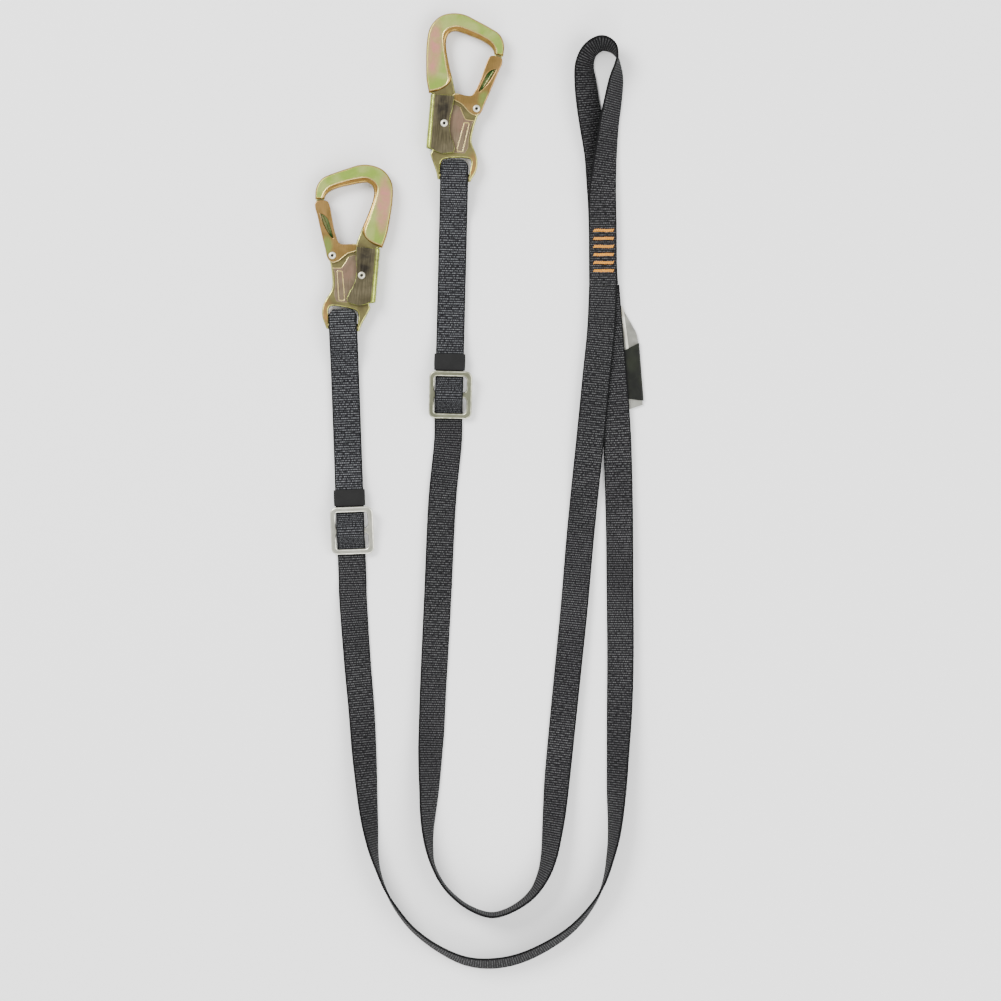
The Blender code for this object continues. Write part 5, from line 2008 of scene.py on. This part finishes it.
            # Near-black plugs in both ends of the rivet: painted shade in its hollow.
            bores = [turned([(0, way * (seat - 0.0001)), (0.00150, way * (seat - 0.0001)),
                             (0.00140, way * (seat + 0.00045)),
                             (0, way * (seat + 0.00045))], 20) for way in (-1, 1)]
            spot = Matrix.Translation((*pivot, 0))
            for part in (mesh, *bores):
                part.transform(spot)
            self.add(name + "_head", [mesh], self.finishes.rivet, "hook", "rivet", name)
            self.add(name + "_bore", bores, self.finishes.bore_shade, "hook", "rivet")

    def build(self, nodes: dict[str, Object]) -> None:
        """Build every piece of the hook and dress the springs of the CAD model.

        Args:
            nodes: the CAD nodes by name.
        """
        self.build_body()
        self.build_gate()
        self.build_lever()
        self.build_rivets()
        for name in ("gate_spring", "lever_spring"):
            node = nodes[f"{name}_{self.place.side.value}"]
            node.data.materials.clear()
            node.data.materials.append(self.finishes.spring)


def read(rows: Sequence[tuple[float, float]], at: float) -> float:
    """Return the value of a table of places and values at a place between them.

    Args:
        rows: the table.
        at: the place.

    Returns:
        The value.
    """
    for (a, low), (b, high) in zip(rows, rows[1:]):
        if at <= b:
            share = min(1.0, max(0.0, (at - a) / (b - a)))
            share = share * share * (3 - 2 * share) * 0.5 + share * 0.5
            return low + (high - low) * share
    return rows[-1][1]


# ---- Studio ----
@dataclass
class Studio:
    """The floor, the lights and the camera."""

    aim: tuple[float, float] = (0.01875, -0.19315)
    seen: float = 0.8939  # width of what the camera sees at the height of the webs
    distance: float = 4.0
    sensor: float = 36.0

    def build(self) -> None:
        """Set up the floor, soft light from above and the camera that looks straight down."""
        self.floor()
        self.light("key", (-1.6, 1.2, 2.4), 1.6, 130.0)
        self.light("fill", (1.8, -0.4, 2.2), 2.0, 60.0)
        self.light("low", (0.2, -2.4, 1.6), 1.8, 40.0)
        world = bpy.data.worlds.new("studio")
        bpy.context.scene.world = world
        world.use_nodes = True
        back = world.node_tree.nodes["Background"]
        back.inputs["Color"].default_value = (1.0, 1.0, 1.0, 1.0)
        back.inputs["Strength"].default_value = 1.05
        camera = bpy.data.cameras.new("camera")
        camera.sensor_width = self.sensor
        camera.lens = self.sensor * self.distance / self.seen
        camera.clip_end = 100.0
        obj = bpy.data.objects.new("camera", camera)
        obj.location = (*self.aim, self.distance + 0.006)
        bpy.context.scene.collection.objects.link(obj)
        bpy.context.scene.camera = obj

    def floor(self) -> None:
        """Lay a very large plain pale floor."""
        bm = bmesh.new()
        bmesh.ops.create_grid(bm, x_segments=1, y_segments=1, size=60.0)
        material, _, shader = new_material("floor", 0.9, 0.0)
        shader.inputs["Base Color"].default_value = (0.93, 0.93, 0.93, 1.0)
        shader.inputs["Specular IOR Level"].default_value = 0.1
        floor = piece("floor", as_mesh(bm, "floor"), material)
        floor.data.transform(Matrix.Translation((0, 0, -0.0004)))

    def light(self, name: str, place: Point, size: float, power: float) -> None:
        """Hang a large soft light that faces the object.

        Args:
            name: the light's name.
            place: where it hangs.
            size: its width.
            power: its power in watts.
        """
        data = bpy.data.lights.new(name, "AREA")
        data.shape, data.size, data.energy = "DISK", size, power
        lamp = bpy.data.objects.new(name, data)
        lamp.location = place
        lamp.rotation_euler = (Vector((*self.aim, 0)) - Vector(place)).to_track_quat("-Z", "Y").to_euler()
        bpy.context.scene.collection.objects.link(lamp)


def main() -> None:
    """Build the looks of the lanyard round its CAD frame."""
    logging.basicConfig(level=logging.INFO, format="%(message)s")
    for obj in list(bpy.data.objects):
        bpy.data.objects.remove(obj)
    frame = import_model()
    Studio().build()
    finishes, buckle = make_finishes(), Buckle()
    places = [
        side_frame(frame, Side.A, 0.1943, False),
        side_frame(frame, Side.B, 0.1822, True),
    ]
    webbing = Webbing(finishes, buckle)
    webbing.loop()
    for route, place in zip((LEG_A_ROUTE, LEG_B_ROUTE), places):
        webbing.leg(route, place)
        webbing.strap(place)
        webbing.hardware(place)
    webbing.stitching(places)
    Label(finishes).build()
    for place in places:
        Hook(finishes, place).build(frame["nodes"])


if __name__ == "__main__":
    main()
